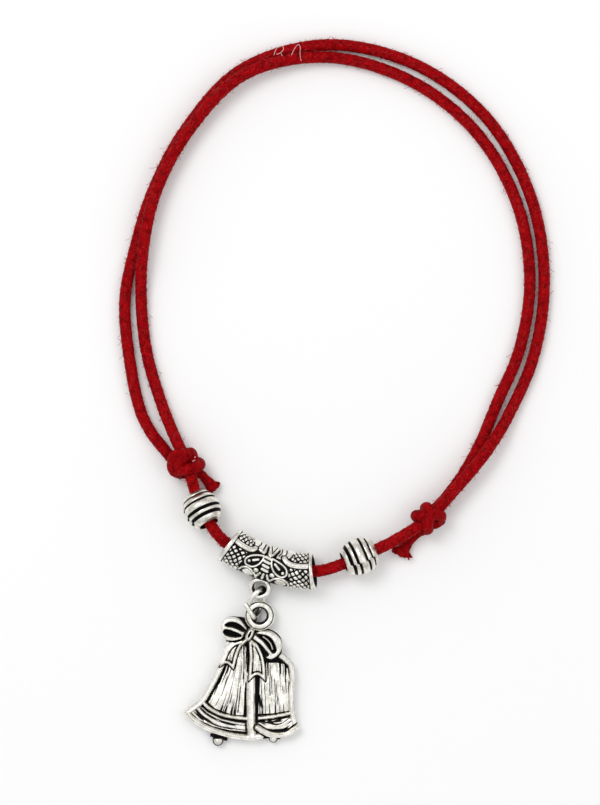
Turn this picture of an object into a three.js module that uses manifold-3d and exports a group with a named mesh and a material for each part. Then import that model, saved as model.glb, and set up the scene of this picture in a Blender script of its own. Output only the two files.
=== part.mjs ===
import * as THREE from 'three';
import { mergeVertices } from 'three/addons/utils/BufferGeometryUtils.js';
import Module from 'manifold-3d';

const wasm = await Module();
wasm.setup();

// An adjustable cord anklet with a double bell charm, lying flat on z = 0. Millimetres, +Z up.
// The origin is the middle of the charm's flat back.

// Driving dimensions
const CORD = { diameter: 1.8, sides: 8, steps: 80 };
const KNOT = { cordDiameter: 1.75, sides: 8, coreGap: 0.12, stepsPerPoint: 2 };
const BEAD = { diameter: 6, length: 5.4, boreClearance: 1.2, grooveDepth: 0.3, endShare: 0.74, sides: 16 };
const BAIL = {
  diameter: 6, bodyDiameter: 5.5, bore: 4.4, bendRadius: 20.3, bendDegrees: 40,
  rimLength: 0.6, lipLength: 0.22, lipStep: 0.18, sides: 18, steps: 10,
};
const BAIL_LOOP = { hole: 2.05, wire: 0.72, droopDegrees: 10, along: -0.03, sides: 8, around: 14 };
const RELIEF = { wire: 0.44, fine: 0.34, sides: 6, dot: 0.62, grain: 0.36 };
const JUMP_RING = {
  meanDiameter: 4.42, wire: 0.68, leanDegrees: 32, slack: 0.11, drift: -0.42, rise: 0.38,
  mouth: 0.75, mouthGap: 0.2, mouthDegrees: -5, sides: 6, steps: 26,
};
const CHARM = {
  width: 18, height: 22.6, plate: 1.3, dome: 0.55, bandTop: 2.05, rimTop: 2.15, barTop: 2.3,
  tailTop: 2.35, tailRimTop: 2.7, bowTop: 2.95, knotTop: 3.25,
  rimWidth: 0.95, bandWidth: 0.68, lipWidth: 1.0, barWidth: 1.35, bowWidth: 0.56, tailRimWidth: 0.46,
  clapperBarTop: 1.4,
};
const CHARM_RING = { outer: 4.7, hole: 2.5, height: 1.7, sides: 8, around: 16 };
const CLAPPER = { barWidth: 0.5 };

// Colours read from the photograph
const COLOURS = { cord: 0xa00a16, silver: 0xc9c7c0 };

// The cord's route: x, y, lift and stack. Lift goes from 0 on the table to 1 at the height of the
// beads' bores, and stack is how many cord diameters the cord rides above that on the strand below.
const ROUTE = [
  [-12.64, 37.62, 0.17, 0], [-14.0, 39.35, 0.12, 0], [-15.8, 42.9, 0.04, 0], [-17.5, 50.9, 0.01, 0], [-18.2, 60.0, 0, 0],
  [-16.6, 68.2, 0, 0], [-13.9, 76.8, 0, 0], [-8.8, 86.4, 0, 0], [-0.3, 95.5, 0, 0],
  [12.8, 99.35, 0, 0], [26.6, 96.3, 0, 0], [37.6, 88.0, 0, 0], [44.3, 76.0, 0, 0],
  [46.4, 63.4, 0, 0], [44.9, 51.8, 0.03, 0], [41.3, 43.1, 0.17, 0], [37.5, 36.8, 0.94, 0],
  [32.35, 30.6, 1.04, 0], [28.3, 26.3, 1, 0], [23.6, 23.2, 1, 0], [18.1, 20.6, 1, 0],
  [10.87, 18.3, 1, 0], [4.2, 20.25, 1, 0], [-2.36, 22.5, 1, 0], [-6.3, 27.85, 1, 0],
  [-8.62, 34.85, 1, 0], [-10.6, 39.2, 0.64, 0], [-12.5, 43.9, 0.16, 0], [-14.8, 51.7, 0.03, 0], [-15.7, 60.0, 0, 0.14],
  [-15.3, 68.0, 0, 0.98], [-13.4, 76.5, 0, 1.04], [-8.4, 85.9, 0, 1.04], [0.2, 94.6, 0, 1.08],
  [12.8, 97.4, 0, 0.3], [25.8, 93.8, 0, 0.06], [35.9, 85.9, 0, 0.02], [42.2, 74.9, 0, 0],
  [44.2, 63.2, 0, 0], [42.6, 52.4, 0, 0], [39.2, 44.3, 0, 0], [36.4, 37.6, 0, 0],
  [33.7, 32.8, 0.02, 0], [31.8, 30.2, 0.02, 0],
];

// Each metal piece's place on the cord, and which way it faces
const BEAD_PLACES = {
  bead_left: { x: -6.3, y: 27.85, headingDegrees: -62.5 },
  bead_right: { x: 18.1, y: 20.6, headingDegrees: 21.5 },
};
const BAIL_PLACE = { x: 3.97, y: 19.3, headingDegrees: -17.9 };

// Each knot: the lengths of the cord's end that are wound over and under the other strand, x, y and z
const KNOTS = {
  knot_left: [
    [[-12.56, 37.53, 1.26], [-11.75, 36.52, 1.3], [-10.92, 35.66, 1.3], [-9.84, 35.21, 1.1],
     [-8.82, 35.46, 1.1], [-7.99, 35.91, 1.7], [-7.91, 36.33, 2.6], [-8.18, 36.44, 3.6],
     [-8.69, 36.17, 4.5], [-9.26, 35.66, 4.8], [-9.74, 35.02, 4.5], [-9.9, 34.38, 3.7]],
    [[-8.69, 36.23, 3.7], [-9.2, 36.33, 4.4], [-9.97, 36.29, 4.8], [-10.57, 35.78, 4.5],
     [-10.8, 34.89, 3.7], [-10.67, 33.93, 3], [-10.03, 33.41, 2.2], [-9.2, 33.36, 1.4],
     [-8.24, 33.49, 1], [-7.22, 33.36, 1], [-6.46, 33.13, 1.05], [-5.75, 32.4, 1.05],
     [-5.05, 31.63, 1], [-4.54, 31, 0.95]],
    [[-9.97, 33.68, 3.3], [-9.26, 33.9, 4.3], [-8.31, 34.09, 4.75], [-7.35, 34.28, 4.5],
     [-6.71, 34.54, 3.6], [-6.63, 34.83, 2.6], [-7.09, 35.08, 1.8]],
  ],
  knot_right: [
    [[31.71, 30.08, 0.96], [30.92, 29.17, 1], [30.09, 28.28, 1.05], [29.26, 27.51, 1.05],
     [28.56, 27.38, 1.2], [28.11, 27.77, 2], [28.14, 28.07, 3.1], [28.38, 27.93, 4.2],
     [28.49, 27.26, 4.5]],
    [[29.26, 25.53, 1.5], [30.03, 25.91, 2.1], [30.37, 26.43, 3], [30.25, 26.9, 3.9],
     [29.64, 27.1, 4.6], [28.91, 26.94, 4.95], [28.44, 26.36, 5], [28.34, 25.53, 4.6],
     [28.38, 24.92, 3.6], [28.3, 24.71, 2.5], [27.86, 24.7, 1.5], [27.22, 24.35, 1.1],
     [26.64, 23.84, 0.95], [26.01, 23.3, 0.95], [25.37, 22.66, 0.95], [24.86, 21.83, 0.95],
     [24.54, 21.13, 0.95]],
    [[27.73, 26.43, 1.4], [26.96, 26.52, 1.9], [26.62, 26.81, 2.9], [26.84, 26.9, 3.8],
     [27.47, 26.9, 4.3], [28.11, 26.68, 4.4]],
  ],
};

// The beads' five ridges: where each starts and the last one ends, as shares of the length
const BEAD_RIDGES = [0.03, 0.18, 0.36, 0.64, 0.82, 0.97];

// The bail's raised ornament on its upper side: shares of its half length and of a quarter turn
const BAIL_LINES = {
  drop_left: [
    [-0.17, 0.25], [-0.32, 0.18], [-0.45, 0.05], [-0.51, -0.13], [-0.44, -0.27], [-0.31, -0.25],
    [-0.21, -0.07], [-0.17, 0.23],
  ],
  drop_right: [
    [0.04, 0.25], [0.05, 0.07], [0.12, -0.11], [0.22, -0.25], [0.33, -0.3], [0.41, -0.17],
    [0.38, 0.02], [0.24, 0.17], [0.06, 0.25],
  ],
  band_left: [[-0.98, 0.28], [-0.8, 0.3], [-0.64, 0.28], [-0.5, 0.27], [-0.41, 0.35], [-0.37, 0.5]],
  band_right: [[0.24, 0.46], [0.3, 0.32], [0.42, 0.22], [0.58, 0.18], [0.76, 0.2], [0.96, 0.22]],
  arch_left: [[-0.51, -0.6], [-0.48, -0.44], [-0.4, -0.36], [-0.29, -0.42], [-0.2, -0.6]],
  arch_right: [[0.12, -0.6], [0.19, -0.44], [0.3, -0.38], [0.4, -0.44], [0.46, -0.62]],
};
const BAIL_BARS = { ups: [0.24, 0.08, -0.08, -0.22], along: -0.055, halfLength: 0.065 };
const BAIL_PETALS = [
  { foot: [-0.22, 0.4], tip: [-0.33, 0.8] }, { foot: [-0.03, 0.4], tip: [-0.05, 0.82] },
  { foot: [0.15, 0.42], tip: [0.24, 0.82] }, { foot: [-0.07, -0.38], tip: [-0.11, -0.56] },
  { foot: [-0.02, -0.38], tip: [-0.03, -0.58] }, { foot: [0.02, -0.38], tip: [0.05, -0.56] },
];
const BAIL_DOTS = [
  [-0.21, -0.32], [0.12, -0.32], [-0.41, -0.12], [-0.31, 0.02], [0.31, -0.13], [0.21, 0.0],
  [-0.54, 0.5], [0.44, 0.5],
];
const BAIL_GRAINS = { columns: 3, rows: 4, near: 0.62, far: 0.86, low: -0.62, high: 0.04 };

// The charm's forms: shares of its width and height from the origin
const LEFT_EDGE = [[-0.14, 0.326], [-0.177, 0.231], [-0.223, 0.135], [-0.26, 0.072], [-0.307, 0.008],
  [-0.362, -0.066], [-0.437, -0.116], [-0.511, -0.153]];
const LEFT_LIP = [[-0.511, -0.153], [-0.464, -0.205], [-0.399, -0.246], [-0.307, -0.286],
  [-0.14, -0.33], [0.036, -0.349], [0.157, -0.341]];
const RIGHT_LIP = [[0.11, -0.279], [0.184, -0.314], [0.277, -0.334], [0.388, -0.323], [0.49, -0.271]];
const RIGHT_EDGE = [[0.49, -0.271], [0.451, -0.19], [0.436, -0.057], [0.446, 0.09], [0.435, 0.164],
  [0.388, 0.212], [0.333, 0.245]];
const BOW_BACK = [[0.335, 0.3], [0.322, 0.35], [0.286, 0.382], [0.225, 0.408], [0.14, 0.425], [0.05, 0.42],
  [-0.023, 0.465], [-0.09, 0.497], [-0.16, 0.485], [-0.2, 0.44], [-0.195, 0.39], [-0.16, 0.345]];
const LEFT_BAND = [[-0.385, -0.088], [-0.306, -0.128], [-0.24, -0.158], [-0.175, -0.181],
  [-0.095, -0.197], [0.05, -0.205]];
const RIGHT_BAND = [[0.1, -0.195], [0.188, -0.192], [0.287, -0.181], [0.43, -0.157]];
const MIDDLE_BAR = [[0.068, 0.1], [0.068, -0.184], [0.08, -0.325]];
const LEFT_BODY = [[-0.12, 0.3], [-0.19, 0.15], [-0.26, 0.03], [-0.325, -0.075], [-0.24, -0.135],
  [-0.095, -0.176], [0.028, -0.184], [0.03, 0.28]];
const RIGHT_BODY = [[0.128, -0.172], [0.26, -0.166], [0.395, -0.143], [0.398, 0.05], [0.39, 0.15],
  [0.33, 0.2], [0.16, 0.22]];
const BOW_LINES = [
  [[0.03, 0.395], [-0.023, 0.45], [-0.084, 0.477], [-0.145, 0.467], [-0.178, 0.435], [-0.176, 0.4]],
  [[-0.168, 0.418], [-0.1, 0.424], [-0.042, 0.407], [0.03, 0.38]],
  [[-0.178, 0.41], [-0.16, 0.37], [-0.126, 0.352], [-0.062, 0.349], [0.02, 0.368]],
  [[0.09, 0.38], [0.156, 0.396], [0.218, 0.39], [0.273, 0.368], [0.306, 0.328], [0.312, 0.28],
    [0.29, 0.24], [0.25, 0.218], [0.206, 0.226]],
  [[0.075, 0.35], [0.133, 0.338], [0.171, 0.306], [0.217, 0.264], [0.25, 0.232]],
  [[0.171, 0.361], [0.217, 0.332], [0.247, 0.295], [0.258, 0.262]],
];
const TAILS = [
  {
    left: [[-0.005, 0.34], [-0.075, 0.312], [-0.131, 0.267], [-0.163, 0.208], [-0.2, 0.151]],
    end: [[-0.2, 0.151], [-0.14, 0.178], [-0.077, 0.135]],
    right: [[-0.077, 0.135], [-0.061, 0.201], [-0.029, 0.267], [0.025, 0.315]],
  },
  {
    left: [[0.055, 0.33], [0.07, 0.264], [0.061, 0.173], [0.05, 0.054]],
    end: [[0.05, 0.054], [0.122, 0.099], [0.196, 0.057]],
    right: [[0.196, 0.057], [0.182, 0.157], [0.156, 0.233], [0.1, 0.318]],
  },
];
const BOW_KNOT = { x: 0.06, y: 0.378, length: 0.115, width: 0.062, turnDegrees: 56 };
const RING_PLACE = { x: 0.145, y: 0.504 };
const CLAPPERS = [
  { x: -0.211, y: -0.348, diameter: 1.66, bar: [[-0.273, -0.3], [-0.135, -0.334]] },
  { x: 0.261, y: -0.33, diameter: 1.3, bar: [[0.2, -0.316], [0.32, -0.324]] },
];

// What follows from the driving dimensions
const threadHeight = Math.max(BAIL.diameter, BEAD.diameter) / 2;
const bailHalfBend = THREE.MathUtils.degToRad(BAIL.bendDegrees) / 2;
const SUNK = 0.35;

// Materials
const waxedCotton = () => new THREE.MeshStandardMaterial({ color: COLOURS.cord, roughness: 0.7, metalness: 0 });
const antiqueSilver = () => new THREE.MeshStandardMaterial({ color: COLOURS.silver, roughness: 0.32, metalness: 1 });

// Solids: a closed geometry as a body for joins and cuts, and back
function solidOf(geometry) {
  const bare = geometry.clone();
  for (const name of ['normal', 'uv']) if (bare.attributes[name]) bare.deleteAttribute(name);
  const merged = mergeVertices(bare, 1e-4);
  const corners = [];
  for (let i = 0; i < merged.index.count; i += 3) {
    const [a, b, c] = [merged.index.getX(i), merged.index.getX(i + 1), merged.index.getX(i + 2)];
    if (a !== b && b !== c && c !== a) corners.push(a, b, c);
  }
  const vertProperties = new Float32Array(merged.attributes.position.array);
  return new wasm.Manifold(new wasm.Mesh({ numProp: 3, vertProperties, triVerts: new Uint32Array(corners) }));
}

function geometryOf(solid) {
  const mesh = solid.getMesh();
  const geometry = new THREE.BufferGeometry();
  geometry.setAttribute('position', new THREE.BufferAttribute(mesh.vertProperties, 3));
  geometry.setIndex(new THREE.BufferAttribute(mesh.triVerts, 1));
  geometry.computeVertexNormals();
  return geometry;
}

const joined = (geometries) => geometries.map(solidOf).reduce((whole, next) => whole.add(next));

// A round section with flats, for wires and cords
function roundSection(diameter, sides) {
  const points = [];
  for (let i = 0; i < sides; i++) {
    const turn = (2 * Math.PI * i) / sides;
    points.push(new THREE.Vector2((diameter / 2) * Math.cos(turn), (diameter / 2) * Math.sin(turn)));
  }
  return new THREE.Shape(points);
}

const sweep = (section, path, steps) =>
  new THREE.ExtrudeGeometry(section, { extrudePath: path, steps, bevelEnabled: false });

// The cord, wound twice round the ankle and once through the beads and the bail
const cordHeight = (lift, stack) =>
  CORD.diameter / 2 + lift * (threadHeight - CORD.diameter / 2) + stack * CORD.diameter;
const cordPath = new THREE.CatmullRomCurve3(
  ROUTE.map(([x, y, lift, stack]) => new THREE.Vector3(x, y, cordHeight(lift, stack))));

const cordGeometry = () => sweep(roundSection(CORD.diameter, CORD.sides), cordPath, CORD.steps);

// A knot: the cord's end, wound round the other strand and pulled tight
function knotGeometry(strands) {
  const wound = (points) => sweep(
    roundSection(KNOT.cordDiameter, KNOT.sides),
    new THREE.CatmullRomCurve3(points.map((point) => new THREE.Vector3(...point))),
    KNOT.stepsPerPoint * points.length);
  const core = solidOf(sweep(
    roundSection(CORD.diameter + 2 * KNOT.coreGap, CORD.sides), cordPath, CORD.steps));
  return geometryOf(joined(strands.map(wound)).subtract(core));
}

// A barrel bead with rounded ridges, turned about the cord
function beadGeometry() {
  const bore = (CORD.diameter + BEAD.boreClearance) / 2;
  const hull = (share) => {
    const off = 2 * share - 1;
    return (BEAD.diameter / 2) * (1 - (1 - BEAD.endShare) * off * off);
  };
  const at = (radius, share) => new THREE.Vector2(radius, (share - 0.5) * BEAD.length);
  const profile = [at(bore, 0), at(hull(0) - BEAD.grooveDepth, 0)];
  BEAD_RIDGES.slice(0, -1).forEach((start, i) => {
    const end = BEAD_RIDGES[i + 1];
    for (const [step, rise] of [[0, 0], [0.2, 0.75], [0.5, 1], [0.8, 0.75]]) {
      const share = start + step * (end - start);
      profile.push(at(hull(share) - BEAD.grooveDepth * (1 - rise), share));
    }
  });
  const last = BEAD_RIDGES[BEAD_RIDGES.length - 1];
  profile.push(at(hull(last) - BEAD.grooveDepth, last), at(hull(1) - BEAD.grooveDepth, 1));
  profile.push(at(bore, 1), at(bore, 0));
  return new THREE.LatheGeometry(profile, BEAD.sides);
}

// A point at a given distance from the bail's bent axis, turned from the top towards the bend's inside
function aroundBail(along, turn, radius) {
  const bend = along * bailHalfBend;
  const angle = (turn * Math.PI) / 2;
  const reach = BAIL.bendRadius - radius * Math.sin(angle);
  return new THREE.Vector3(
    reach * Math.sin(bend), BAIL.bendRadius - reach * Math.cos(bend), radius * Math.cos(angle));
}

const bailSkin = (along, turn) => aroundBail(along, turn, BAIL.bodyDiameter / 2);

function bailRelief() {
  const wire = (points, diameter, steps) => sweep(
    roundSection(diameter, RELIEF.sides),
    new THREE.CatmullRomCurve3(points.map(([along, turn]) => bailSkin(along, turn))), steps);
  const seated = (dot, along, turn) => {
    const { x, y, z } = bailSkin(along, turn);
    return dot.translate(x, y, z);
  };
  const pieces = Object.values(BAIL_LINES).map((points) => wire(points, RELIEF.wire, 2 * points.length));
  for (const up of BAIL_BARS.ups) {
    const { along, halfLength } = BAIL_BARS;
    pieces.push(wire([[along - halfLength, up - 0.01], [along + halfLength, up + 0.01]], RELIEF.fine, 1));
  }
  for (const { foot, tip } of BAIL_PETALS) pieces.push(wire([foot, tip], RELIEF.wire, 3));
  for (const [along, turn] of BAIL_DOTS) {
    pieces.push(seated(new THREE.IcosahedronGeometry(RELIEF.dot / 2), along, turn));
  }
  for (const end of [-1, 1]) {
    for (let column = 0; column < BAIL_GRAINS.columns; column++) {
      for (let row = 0; row < BAIL_GRAINS.rows; row++) {
        const out = column / (BAIL_GRAINS.columns - 1);
        const up = row / (BAIL_GRAINS.rows - 1);
        const along = end * (BAIL_GRAINS.near + out * (BAIL_GRAINS.far - BAIL_GRAINS.near));
        const turn = BAIL_GRAINS.low + up * (BAIL_GRAINS.high - BAIL_GRAINS.low);
        pieces.push(seated(new THREE.OctahedronGeometry(RELIEF.grain / 2), along, turn));
      }
    }
  }
  return pieces;
}

// The loop under the bail hangs from the bend's outside and droops towards the table
const bailLoopReach = BAIL.bodyDiameter / 2 + BAIL_LOOP.hole / 2 + BAIL_LOOP.wire / 8;
const bailLoopTurn = -1 - BAIL_LOOP.droopDegrees / 90;
const bailLoopCentre = () => aroundBail(BAIL_LOOP.along, bailLoopTurn, bailLoopReach);

function bailLoopGeometry() {
  const radius = (BAIL_LOOP.hole + BAIL_LOOP.wire) / 2;
  const ring = new THREE.TorusGeometry(radius, BAIL_LOOP.wire / 2, BAIL_LOOP.sides, BAIL_LOOP.around);
  const centre = bailLoopCentre();
  return ring.rotateX(THREE.MathUtils.degToRad(BAIL_LOOP.droopDegrees)).translate(centre.x, centre.y, centre.z);
}

// The tube with its two rims: a turned profile, bent along the axis
function bailTube() {
  const halfLength = BAIL.bendRadius * bailHalfBend;
  const rim = 1 - BAIL.rimLength / halfLength;
  const lip = 1 - BAIL.lipLength / halfLength;
  const [body, full, bore] = [BAIL.bodyDiameter / 2, BAIL.diameter / 2, BAIL.bore / 2];
  const edge = full - BAIL.lipStep / 2;
  const steps = Array.from({ length: BAIL.steps + 1 }, (_, i) => rim * ((2 * i) / BAIL.steps - 1));
  const outside = [
    [edge, -1], [edge, -lip], [full, -lip], [full, -rim],
    ...steps.map((along) => [body, along]),
    [full, rim], [full, lip], [edge, lip], [edge, 1],
  ];
  const inside = [[bore, 1], ...steps.reverse().map((along) => [bore, along]), [bore, -1]];
  const profile = [...outside, ...inside, outside[0]].map(([radius, along]) => new THREE.Vector2(radius, along));
  const tube = new THREE.LatheGeometry(profile, BAIL.sides);
  const places = tube.attributes.position;
  for (let i = 0; i < places.count; i++) {
    const [x, along, z] = [places.getX(i), places.getY(i), places.getZ(i)];
    const turn = Math.atan2(-x, z) / (Math.PI / 2);
    places.setXYZ(i, ...aroundBail(along, turn, Math.hypot(x, z)));
  }
  return tube;
}

const bailGeometry = () => geometryOf(joined([bailTube(), bailLoopGeometry(), ...bailRelief()]));

// The jump ring is a bent wire whose ends have sprung a little apart
class JumpRingWire extends THREE.Curve {
  getPoint(t) {
    const radius = JUMP_RING.meanDiameter / 2;
    const spare = (JUMP_RING.wire + JUMP_RING.mouthGap) / 2 / radius;
    const start = THREE.MathUtils.degToRad(JUMP_RING.mouthDegrees) + spare;
    const turn = start + t * (2 * Math.PI - 2 * spare);
    const shift = (t - 0.5) * JUMP_RING.mouth;
    return new THREE.Vector3(radius * Math.cos(turn), radius * Math.sin(turn), shift);
  }
}
const jumpRingGeometry = () =>
  sweep(roundSection(JUMP_RING.wire, JUMP_RING.sides), new JumpRingWire(), JUMP_RING.steps);

// The charm's flat forms in its own plane
const onCharm = ([across, up]) => new THREE.Vector2(across * CHARM.width, up * CHARM.height);

// A raised strip of a given width along a line, from inside the plate up to its top
function strip(points, width, top, steps = 2 * points.length) {
  const low = CHARM.plate - SUNK;
  const shoulder = top - Math.min(0.25 * width, 0.5 * (top - low));
  const half = width / 2;
  const section = new THREE.Shape([
    [low, -half], [shoulder, -half], [top, -half * 0.45], [top, half * 0.45], [shoulder, half], [low, half],
  ].map(([height, out]) => new THREE.Vector2(-height, out)));
  const line = points.map((point) => {
    const { x, y } = onCharm(point);
    return new THREE.Vector3(x, y, 0);
  });
  return sweep(section, new THREE.CatmullRomCurve3(line), steps);
}

// The same line moved sideways, so that a strip's outer side lies on it
function inset(points, distance) {
  return points.map((point, i) => {
    const before = onCharm(points[Math.max(i - 1, 0)]);
    const after = onCharm(points[Math.min(i + 1, points.length - 1)]);
    const way = after.sub(before).normalize();
    const place = onCharm(point);
    return [(place.x - way.y * distance) / CHARM.width, (place.y + way.x * distance) / CHARM.height];
  });
}

function plateOutline() {
  const outline = new THREE.Shape();
  const start = onCharm(LEFT_EDGE[0]);
  outline.moveTo(start.x, start.y);
  outline.splineThru(LEFT_EDGE.slice(1).map(onCharm));
  outline.splineThru(LEFT_LIP.slice(1).map(onCharm));
  outline.splineThru(RIGHT_LIP.slice(2).map(onCharm));
  outline.splineThru(RIGHT_EDGE.slice(1).map(onCharm));
  outline.splineThru(BOW_BACK.map(onCharm));
  return outline;
}

function charmPlate() {
  return new THREE.ExtrudeGeometry(plateOutline(), { depth: CHARM.plate, bevelEnabled: false, curveSegments: 3 });
}

// A bell's brushed body swells above the plate between its rims
function bellBody(points) {
  const outline = new THREE.Shape(points.map(onCharm));
  const body = new THREE.ExtrudeGeometry(outline, {
    depth: SUNK, bevelEnabled: true, bevelThickness: CHARM.dome, bevelSize: 2 * CHARM.dome,
    bevelOffset: -2 * CHARM.dome, bevelSegments: 3, curveSegments: 6,
  });
  return body.translate(0, 0, CHARM.plate - SUNK);
}

function bowTail({ left, end, right }) {
  const outline = new THREE.Shape([...left, ...end.slice(1), ...right.slice(1)].map(onCharm));
  const sheet = new THREE.ExtrudeGeometry(outline, { depth: CHARM.tailTop - CHARM.plate + SUNK, bevelEnabled: false });
  const rim = (line) => strip(line, CHARM.tailRimWidth, CHARM.tailRimTop, 6);
  const within = 0.6 * CHARM.tailRimWidth;
  return [
    sheet.translate(0, 0, CHARM.plate - SUNK),
    rim(inset(left, within)), rim(inset(end, within)), rim(inset(right, within)),
  ];
}

function bowKnot() {
  const { x, y, length, width, turnDegrees } = BOW_KNOT;
  const knot = new THREE.CapsuleGeometry(0.5, 1, 3, 10);
  knot.scale(width * CHARM.width, (length * CHARM.height) / 2, CHARM.knotTop - CHARM.plate);
  knot.rotateZ(THREE.MathUtils.degToRad(turnDegrees - 90));
  const place = onCharm([x, y]);
  return knot.translate(place.x, place.y, (CHARM.plate + CHARM.knotTop) / 2);
}

const ringCentre = () => {
  const { x, y } = onCharm([RING_PLACE.x, RING_PLACE.y]);
  return new THREE.Vector3(x, y, CHARM_RING.height);
};

// The ring stands clear of the table, on a neck that rises from the plate
function charmRing() {
  const wall = (CHARM_RING.outer - CHARM_RING.hole) / 2;
  const ring = new THREE.TorusGeometry((CHARM_RING.outer - wall) / 2, wall / 2, CHARM_RING.sides, CHARM_RING.around);
  const centre = ringCentre();
  const neckTop = CHARM_RING.height + wall / 4;
  const neck = new THREE.BoxGeometry(CHARM_RING.hole, wall, neckTop - SUNK);
  neck.translate(centre.x, centre.y - CHARM_RING.outer / 2, (neckTop + SUNK) / 2);
  return [ring.translate(centre.x, centre.y, centre.z), neck];
}

function clapper({ x, y, diameter, bar }) {
  const place = onCharm([x, y]);
  const ball = new THREE.IcosahedronGeometry(diameter / 2, 1);
  return [ball.translate(place.x, place.y, diameter / 2), strip(bar, CLAPPER.barWidth, CHARM.clapperBarTop, 2)];
}

function charmGeometry() {
  const rims = [
    strip(inset(LEFT_EDGE, CHARM.rimWidth / 2), CHARM.rimWidth, CHARM.rimTop),
    strip(inset(LEFT_LIP, CHARM.lipWidth / 2), CHARM.lipWidth, CHARM.rimTop),
    strip(inset(RIGHT_LIP, CHARM.lipWidth / 2), CHARM.lipWidth, CHARM.rimTop),
    strip(inset(RIGHT_EDGE, CHARM.rimWidth / 2), CHARM.rimWidth, CHARM.rimTop),
  ];
  const bands = [LEFT_BAND, RIGHT_BAND].map((line) => strip(line, CHARM.bandWidth, CHARM.bandTop));
  const bar = strip(MIDDLE_BAR, CHARM.barWidth, CHARM.barTop, 4);
  const bow = BOW_LINES.map((line) => strip(line, CHARM.bowWidth, CHARM.bowTop));
  return geometryOf(joined([
    charmPlate(), bellBody(LEFT_BODY), bellBody(RIGHT_BODY), ...rims, ...bands, bar,
    ...TAILS.flatMap(bowTail), ...bow, bowKnot(), ...charmRing(), ...CLAPPERS.flatMap(clapper),
  ]));
}

// Assembly
function piece(name, geometry, material) {
  const mesh = new THREE.Mesh(geometry, material);
  mesh.name = name;
  return mesh;
}

const anklet = new THREE.Group();
anklet.add(piece('cord', cordGeometry(), waxedCotton()));
for (const [name, strands] of Object.entries(KNOTS)) anklet.add(piece(name, knotGeometry(strands), waxedCotton()));

for (const [name, { x, y, headingDegrees }] of Object.entries(BEAD_PLACES)) {
  const bead = piece(name, beadGeometry(), antiqueSilver());
  bead.position.set(x, y, threadHeight);
  bead.rotation.z = THREE.MathUtils.degToRad(headingDegrees - 90);
  anklet.add(bead);
}

const bailGroup = new THREE.Group();
bailGroup.position.set(BAIL_PLACE.x, BAIL_PLACE.y, threadHeight);
bailGroup.rotation.z = THREE.MathUtils.degToRad(BAIL_PLACE.headingDegrees);
bailGroup.add(piece('bail', bailGeometry(), antiqueSilver()));
anklet.add(bailGroup);

// The jump ring joins the bail's loop to the charm's ring, a ring's width away
bailGroup.updateMatrixWorld(true);
const upperHole = bailLoopCentre().applyMatrix4(bailGroup.matrixWorld);
const lowerHole = upperHole.clone();
lowerHole.y -= JUMP_RING.meanDiameter - JUMP_RING.slack;
const jumpRing = piece('jump_ring', jumpRingGeometry(), antiqueSilver());
jumpRing.position.set(
  upperHole.x + JUMP_RING.drift, (upperHole.y + lowerHole.y) / 2,
  CHARM_RING.height + JUMP_RING.wire / 2 + JUMP_RING.rise);
jumpRing.rotation.set(0, THREE.MathUtils.degToRad(-90 - JUMP_RING.leanDegrees), 0);
anklet.add(jumpRing);

const charm = piece('charm', charmGeometry(), antiqueSilver());
charm.position.set(lowerHole.x - ringCentre().x, lowerHole.y - ringCentre().y, 0);
anklet.add(charm);

export default anklet;
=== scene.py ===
# An adjustable cord anklet with a double bell charm, lying on a pale table. Millimetres are turned
# into metres by MM; the frame's origin is the middle of the charm's flat back.
import math
import bpy
import numpy as np
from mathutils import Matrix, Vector


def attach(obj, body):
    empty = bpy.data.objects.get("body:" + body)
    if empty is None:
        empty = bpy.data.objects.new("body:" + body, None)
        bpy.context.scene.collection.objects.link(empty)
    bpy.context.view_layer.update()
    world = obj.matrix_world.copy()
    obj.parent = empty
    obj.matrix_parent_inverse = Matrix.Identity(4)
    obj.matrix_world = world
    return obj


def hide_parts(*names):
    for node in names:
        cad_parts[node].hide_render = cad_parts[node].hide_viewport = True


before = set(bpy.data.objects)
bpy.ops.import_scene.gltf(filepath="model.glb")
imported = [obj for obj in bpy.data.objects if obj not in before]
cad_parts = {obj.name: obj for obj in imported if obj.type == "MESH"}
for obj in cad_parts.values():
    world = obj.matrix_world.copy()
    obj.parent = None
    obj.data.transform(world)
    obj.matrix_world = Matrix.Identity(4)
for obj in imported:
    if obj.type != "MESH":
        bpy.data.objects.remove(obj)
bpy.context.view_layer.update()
MM = 0.001
rng = np.random.default_rng(7)

# The camera looks straight down through a long lens
FRAME_HEIGHT = 123.85
FRAME_CENTRE = (8.77, 44.23)
CAMERA_HEIGHT = 620.0
FOCUS_HEIGHT = 2.0


def build_camera():
    data = bpy.data.cameras.new("camera")
    data.sensor_fit = "VERTICAL"
    data.sensor_height = 24.0
    data.lens = data.sensor_height * (CAMERA_HEIGHT - FOCUS_HEIGHT) / FRAME_HEIGHT
    data.clip_start = 0.01
    camera = bpy.data.objects.new("camera", data)
    camera.location = (FRAME_CENTRE[0] * MM, FRAME_CENTRE[1] * MM, CAMERA_HEIGHT * MM)
    bpy.context.scene.collection.objects.link(camera)
    bpy.context.scene.camera = camera


build_camera()

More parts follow.
